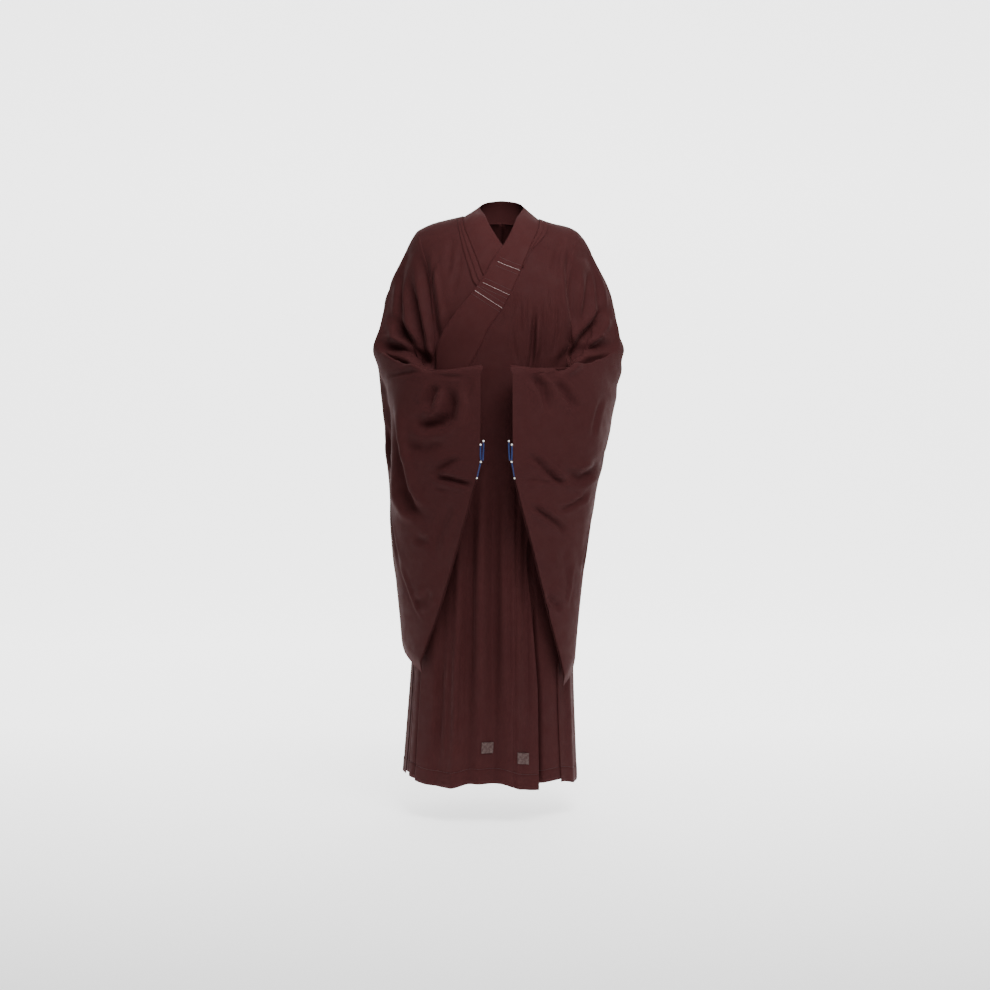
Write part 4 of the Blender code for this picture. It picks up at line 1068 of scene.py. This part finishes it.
def rope(start, end, radius, bow):
    """Twisted cord of three strands between two points, bowed sideways a little."""
    length = np.linalg.norm(end - start)
    side, other = frame_of((end - start) / length)
    around = circle(18)
    rings = []
    for t in np.linspace(0.0, 1.0, 29):
        swell = radius * (0.90 + 0.10 * np.cos(3.0 * (around - t * length * 420.0)))
        swell = swell * (0.55 + 0.45 * smooth(min(t, 1.0 - t) / 0.04))
        middle = start + (end - start) * t + np.array((bow, 0.0, 0.0)) * math.sin(math.pi * t)
        rings.append(middle + swell[:, None] * spokes(around, side, other))
    return sweep(rings)


def knot(centre, radius, lean):
    """Small wrapped knot, round with three shallow grooves."""
    axis = unit(np.array(lean, float))
    side, other = frame_of(axis)
    around = circle(20)
    rings = []
    for t in np.linspace(0.04, 0.96, 14):
        swell = radius * math.sin(math.pi * t) * (1.0 - 0.10 * np.cos(3.0 * around + t * 9.0) ** 2)
        middle = np.array(centre) - axis * radius * 0.95 * math.cos(math.pi * t)
        rings.append(middle + swell[:, None] * spokes(around, side, other))
    return sweep(rings)


def cord_ends(node):
    """Middles of a cord solid's upper and lower end."""
    points = np.array([v.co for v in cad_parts[node].data.vertices])
    z = points[:, 2]
    return points[z > z.max() - 0.002].mean(0), points[z < z.min() + 0.002].mean(0)


def make_cords():
    """Blue ties at the slot of each cuff with white knots, where the solids have them."""
    for side, sign in (("right", -1.0), ("left", 1.0)):
        strands = ["cuff_cord_%s_%s" % (side, part) for part in ("front", "back", "stem")]
        knots = ["cord_knot_%s_%d" % (side, number) for number in range(1, 5)]
        ropes = [rope(*cord_ends(node), CORD_RADIUS, sign * bow)
                 for node, bow in zip(strands, (0.0004, -0.0004, 0.0003))]
        ends = [knot(sum(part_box(node), Vector()) / 2.0, KNOT_RADIUS, (0.3 * sign, 0.2, 1.0))
                for node in knots]
        solid_piece("cuff_cord_%s_rope" % side, ropes, CORD, strands)
        solid_piece("cuff_knots_%s" % side, ends, KNOT, knots)


# Stitches: radius, length, gap to the next
WHITE_STITCH = (0.00036, 0.0062, 0.0003)
BROWN_STITCH = (0.00040, 0.0030, 0.0012)
HEM_STITCH = (0.00038, 0.0030, 0.0014)


def stitch(points, normals, radius):
    """One stitch lying on the cloth along a few points."""
    way = unit(points[-1] - points[0])
    around = circle(6)
    rings = []
    for point, normal, t in zip(points, normals, np.linspace(0.0, 1.0, len(points))):
        out = unit(normal)
        side = unit(np.cross(way, out))
        wide = radius * (0.35 + 0.65 * math.sin(math.pi * min(max(t, 0.06), 0.94)) ** 0.5)
        middle = point + out * radius * (0.10 + 0.50 * math.sin(math.pi * t))
        rings.append(middle + wide * spokes(around, side, 0.8 * out))
    return sweep(rings)


def along(points, run, at):
    """Points at distances along a row of points."""
    return np.stack([np.interp(at, run, column) for column in np.transpose(points)], -1)


def stitch_row(line, size):
    """Running stitches along a line on the cloth, evened out to fill it."""
    points, normals = line
    radius, length, gap = size
    run = run_of(points)
    count = max(int(round(run[-1] / (length + gap))), 1)
    places = run[-1] / count * (np.arange(count)[:, None] + np.linspace(0.0, length / (length + gap), 5))
    return [stitch(along(points, run, at), along(normals, run, at), radius) for at in places]


def tree_of(obj):
    """The finished outer surface of a piece, for placing stitches on it."""
    graph = bpy.context.evaluated_depsgraph_get()
    shown = obj.evaluated_get(graph)
    mesh = shown.to_mesh()
    tree = BVHTree.FromPolygons([v.co for v in mesh.vertices], [p.vertices for p in mesh.polygons])
    shown.to_mesh_clear()
    return tree


def land(tree, starts, ways):
    """Points and outward normals where rays meet a piece."""
    points, normals = [], []
    for start, way in zip(starts, ways):
        spot, normal, _, _ = tree.ray_cast(Vector(start), Vector(way))
        if spot is not None:
            points.append(np.array(spot))
            normals.append(np.array(normal) * (-1.0 if normal.dot(Vector(way)) > 0.0 else 1.0))
    return points, normals


def front_line(tree, marks, steps=40):
    """Where a line drawn from the front falls on a piece."""
    run = run_of(marks)
    flat = along(marks, run, np.linspace(0.0, run[-1], steps))
    return land(tree, [(x, -1.0, z) for x, z in flat], [(0.0, 1.0, 0.0)] * steps)


def hem_line(tree, first, last, steps=90):
    """Where the hem's stitch line runs on a piece, between two angles."""
    angles = np.linspace(first, last, steps)
    drops = np.full(steps, HEM_LINE)
    out = away(angles, drops)
    return land(tree, on_body(angles, drops, 0.0) + out * 0.03, -out)


# White rows across the collar, as seen from the front: across and height
WHITE_ROWS = (
    ((0.0035, -0.1026), (0.0173, -0.1087), (0.0346, -0.1155), (0.0517, -0.122)),
    ((-0.0283, -0.1479), (-0.0086, -0.1573), (0.0129, -0.1672), (0.0332, -0.1767)),
    ((-0.0497, -0.1622), (-0.028, -0.1767), (-0.0065, -0.1904), (0.016, -0.2046)),
)
ROW_OFFSETS = (-0.0105, 0.0095)   # brown rows above and below each white one


def make_hem_stitches(outer, inner, gore_left, gore_right):
    """Tone on tone rows along the turned hem: each piece of the body from a first to a last angle."""
    left_front, left_back, right_front, right_back = (float(look(edge, HEM_LINE)) for edge in (
        LEFT_FRONT_SIDE, LEFT_BACK_SIDE, RIGHT_FRONT_SIDE, RIGHT_BACK_SIDE))
    rows = ((outer, -57.0, left_front - 0.8), (gore_left, left_front + 1.5, left_back - 1.0),
            (outer, left_back + 0.8, 179.0), (inner, -179.0, right_back - 0.8),
            (gore_right, right_back + 1.0, right_front - 1.0), (inner, right_front + 0.8, -59.0))
    made = []
    for piece, first, last in rows:
        made += stitch_row(hem_line(tree_of(piece), first, last), HEM_STITCH)
    solid_piece("hem_stitches_brown", made, TONE_THREAD)


def make_collar_stitches(collar):
    """White rows across the band, each between two brown ones."""
    tree = tree_of(collar)
    white, brown = [], []
    for marks in WHITE_ROWS:
        white += stitch_row(front_line(tree, marks), WHITE_STITCH)
        marks = np.array(marks)
        across, up = unit(marks[-1] - marks[0])
        for offset in ROW_OFFSETS:
            brown += stitch_row(front_line(tree, marks + np.array((up, -across)) * offset), BROWN_STITCH)
    solid_piece("collar_stitches_white", white, WHITE_THREAD)
    solid_piece("collar_stitches_brown", brown, TONE_THREAD)


def make_patches():
    """Two gauze squares near the hem: middle, drop, lean, clearance from the front."""
    for name, middle, drop, lean, clear in (("hem_patch_middle", -0.0185, 1.153, 0.06, 0.0016),
                                            ("hem_patch_side", 0.0580, 1.166, 0.0, 0.0009)):
        part = np.linspace(-0.5, 0.5, 13) * PATCH_SIZE
        across, down = np.meshgrid(part, part)
        x = middle + across * math.cos(lean) - down * math.sin(lean)
        fall = drop + across * math.sin(lean) + down * math.cos(lean)
        grid = on_body(angle_at(x, fall), fall, LAP_LIFT + clear + GAUZE_WALL)
        make_sheet(name + "_gauze", (name,), grid, GAUZE, GAUZE_WALL, flip=True)


# Soft lights: place, size, power, point that it is aimed at
LIGHTS = {
    "key": ((1.5, -1.9, 1.9), 1.1, 36.0, (0.0, 0.0, -0.6)),
    "fill": ((-2.6, -2.4, 1.1), 2.2, 6.0, (0.0, 0.0, -0.6)),
    "top": ((0.2, -0.6, 2.6), 2.0, 34.0, (0.0, 0.0, -0.6)),
    "chest": ((0.25, -1.30, 0.8), 0.8, 36.0, (0.0, -0.1, -0.15)),
}
FLOOR_HEIGHT = -1.34
FLOOR_HALF = 3.2
FLOOR_FRONT = -1.6
BEND_START = 2.2       # the floor bends up to the backdrop behind the robe
BEND_RADIUS = 1.6
BACKDROP_TOP = 5.5
CAMERA_PLACE = (-0.00225, -4.5, -0.19)
CAMERA_AIM = (-0.00225, 0.0, -0.62225)


def place_at(obj, place, aim):
    """Put a light or camera in the scene, aimed at a point."""
    obj.location = place
    obj.rotation_euler = (Vector(aim) - Vector(place)).to_track_quat("-Z", "Y").to_euler()
    bpy.context.scene.collection.objects.link(obj)


def make_stage():
    """Pale floor that rises to a backdrop, soft lights and the camera."""
    profile = [(FLOOR_FRONT, 0.0), (BEND_START, 0.0)]
    profile += [(BEND_START + BEND_RADIUS * math.sin(a), BEND_RADIUS - BEND_RADIUS * math.cos(a))
                for a in np.linspace(0.1, math.pi / 2, 14)]
    profile += [(BEND_START + BEND_RADIUS, BACKDROP_TOP)]
    verts = [(x, y, z + FLOOR_HEIGHT) for y, z in profile for x in (-FLOOR_HALF, FLOOR_HALF)]
    faces = [(2 * i, 2 * i + 1, 2 * i + 3, 2 * i + 2) for i in range(len(profile) - 1)]
    material, shader, nodes = paint("floor", base=(0.84, 0.84, 0.84, 1.0), glow=(1.0, 1.0, 1.0, 1.0),
                                    rough=0.9, specular=0.1)
    # Painted glow: the floor and backdrop emit light themselves, dimmer in front and brighter behind, so the
    # backdrop reads white and lights the robe
    depth = nodes.add("SeparateXYZ", "Y", {0: nodes.add("TexCoord", "Object")})
    nodes.put(shader, "Emission Strength", nodes.ramp(depth, -1.2, 0.9, 0.8, 2.7))
    new_object("floor", verts, faces, material)
    world = bpy.data.worlds.new("studio")
    world.use_nodes = True
    background = world.node_tree.nodes["Background"]
    background.inputs["Color"].default_value = (1.0, 1.0, 1.0, 1.0)
    background.inputs["Strength"].default_value = 0.26
    bpy.context.scene.world = world
    for name, (place, size, energy, aim) in LIGHTS.items():
        light = bpy.data.lights.new(name, "AREA")
        light.size = size
        light.energy = energy
        place_at(bpy.data.objects.new(name, light), place, aim)
    camera = bpy.data.objects.new("camera", bpy.data.cameras.new("camera"))
    camera.data.lens = 73.06
    camera.data.sensor_width = 36.0
    place_at(camera, CAMERA_PLACE, CAMERA_AIM)
    bpy.context.scene.camera = camera


make_stage()
BODY, ARMHOLES = make_body()
make_sleeves(ARMHOLES)
COLLAR = make_collar()
make_patches()
make_cords()
make_collar_stitches(COLLAR)
make_hem_stitches(*BODY)
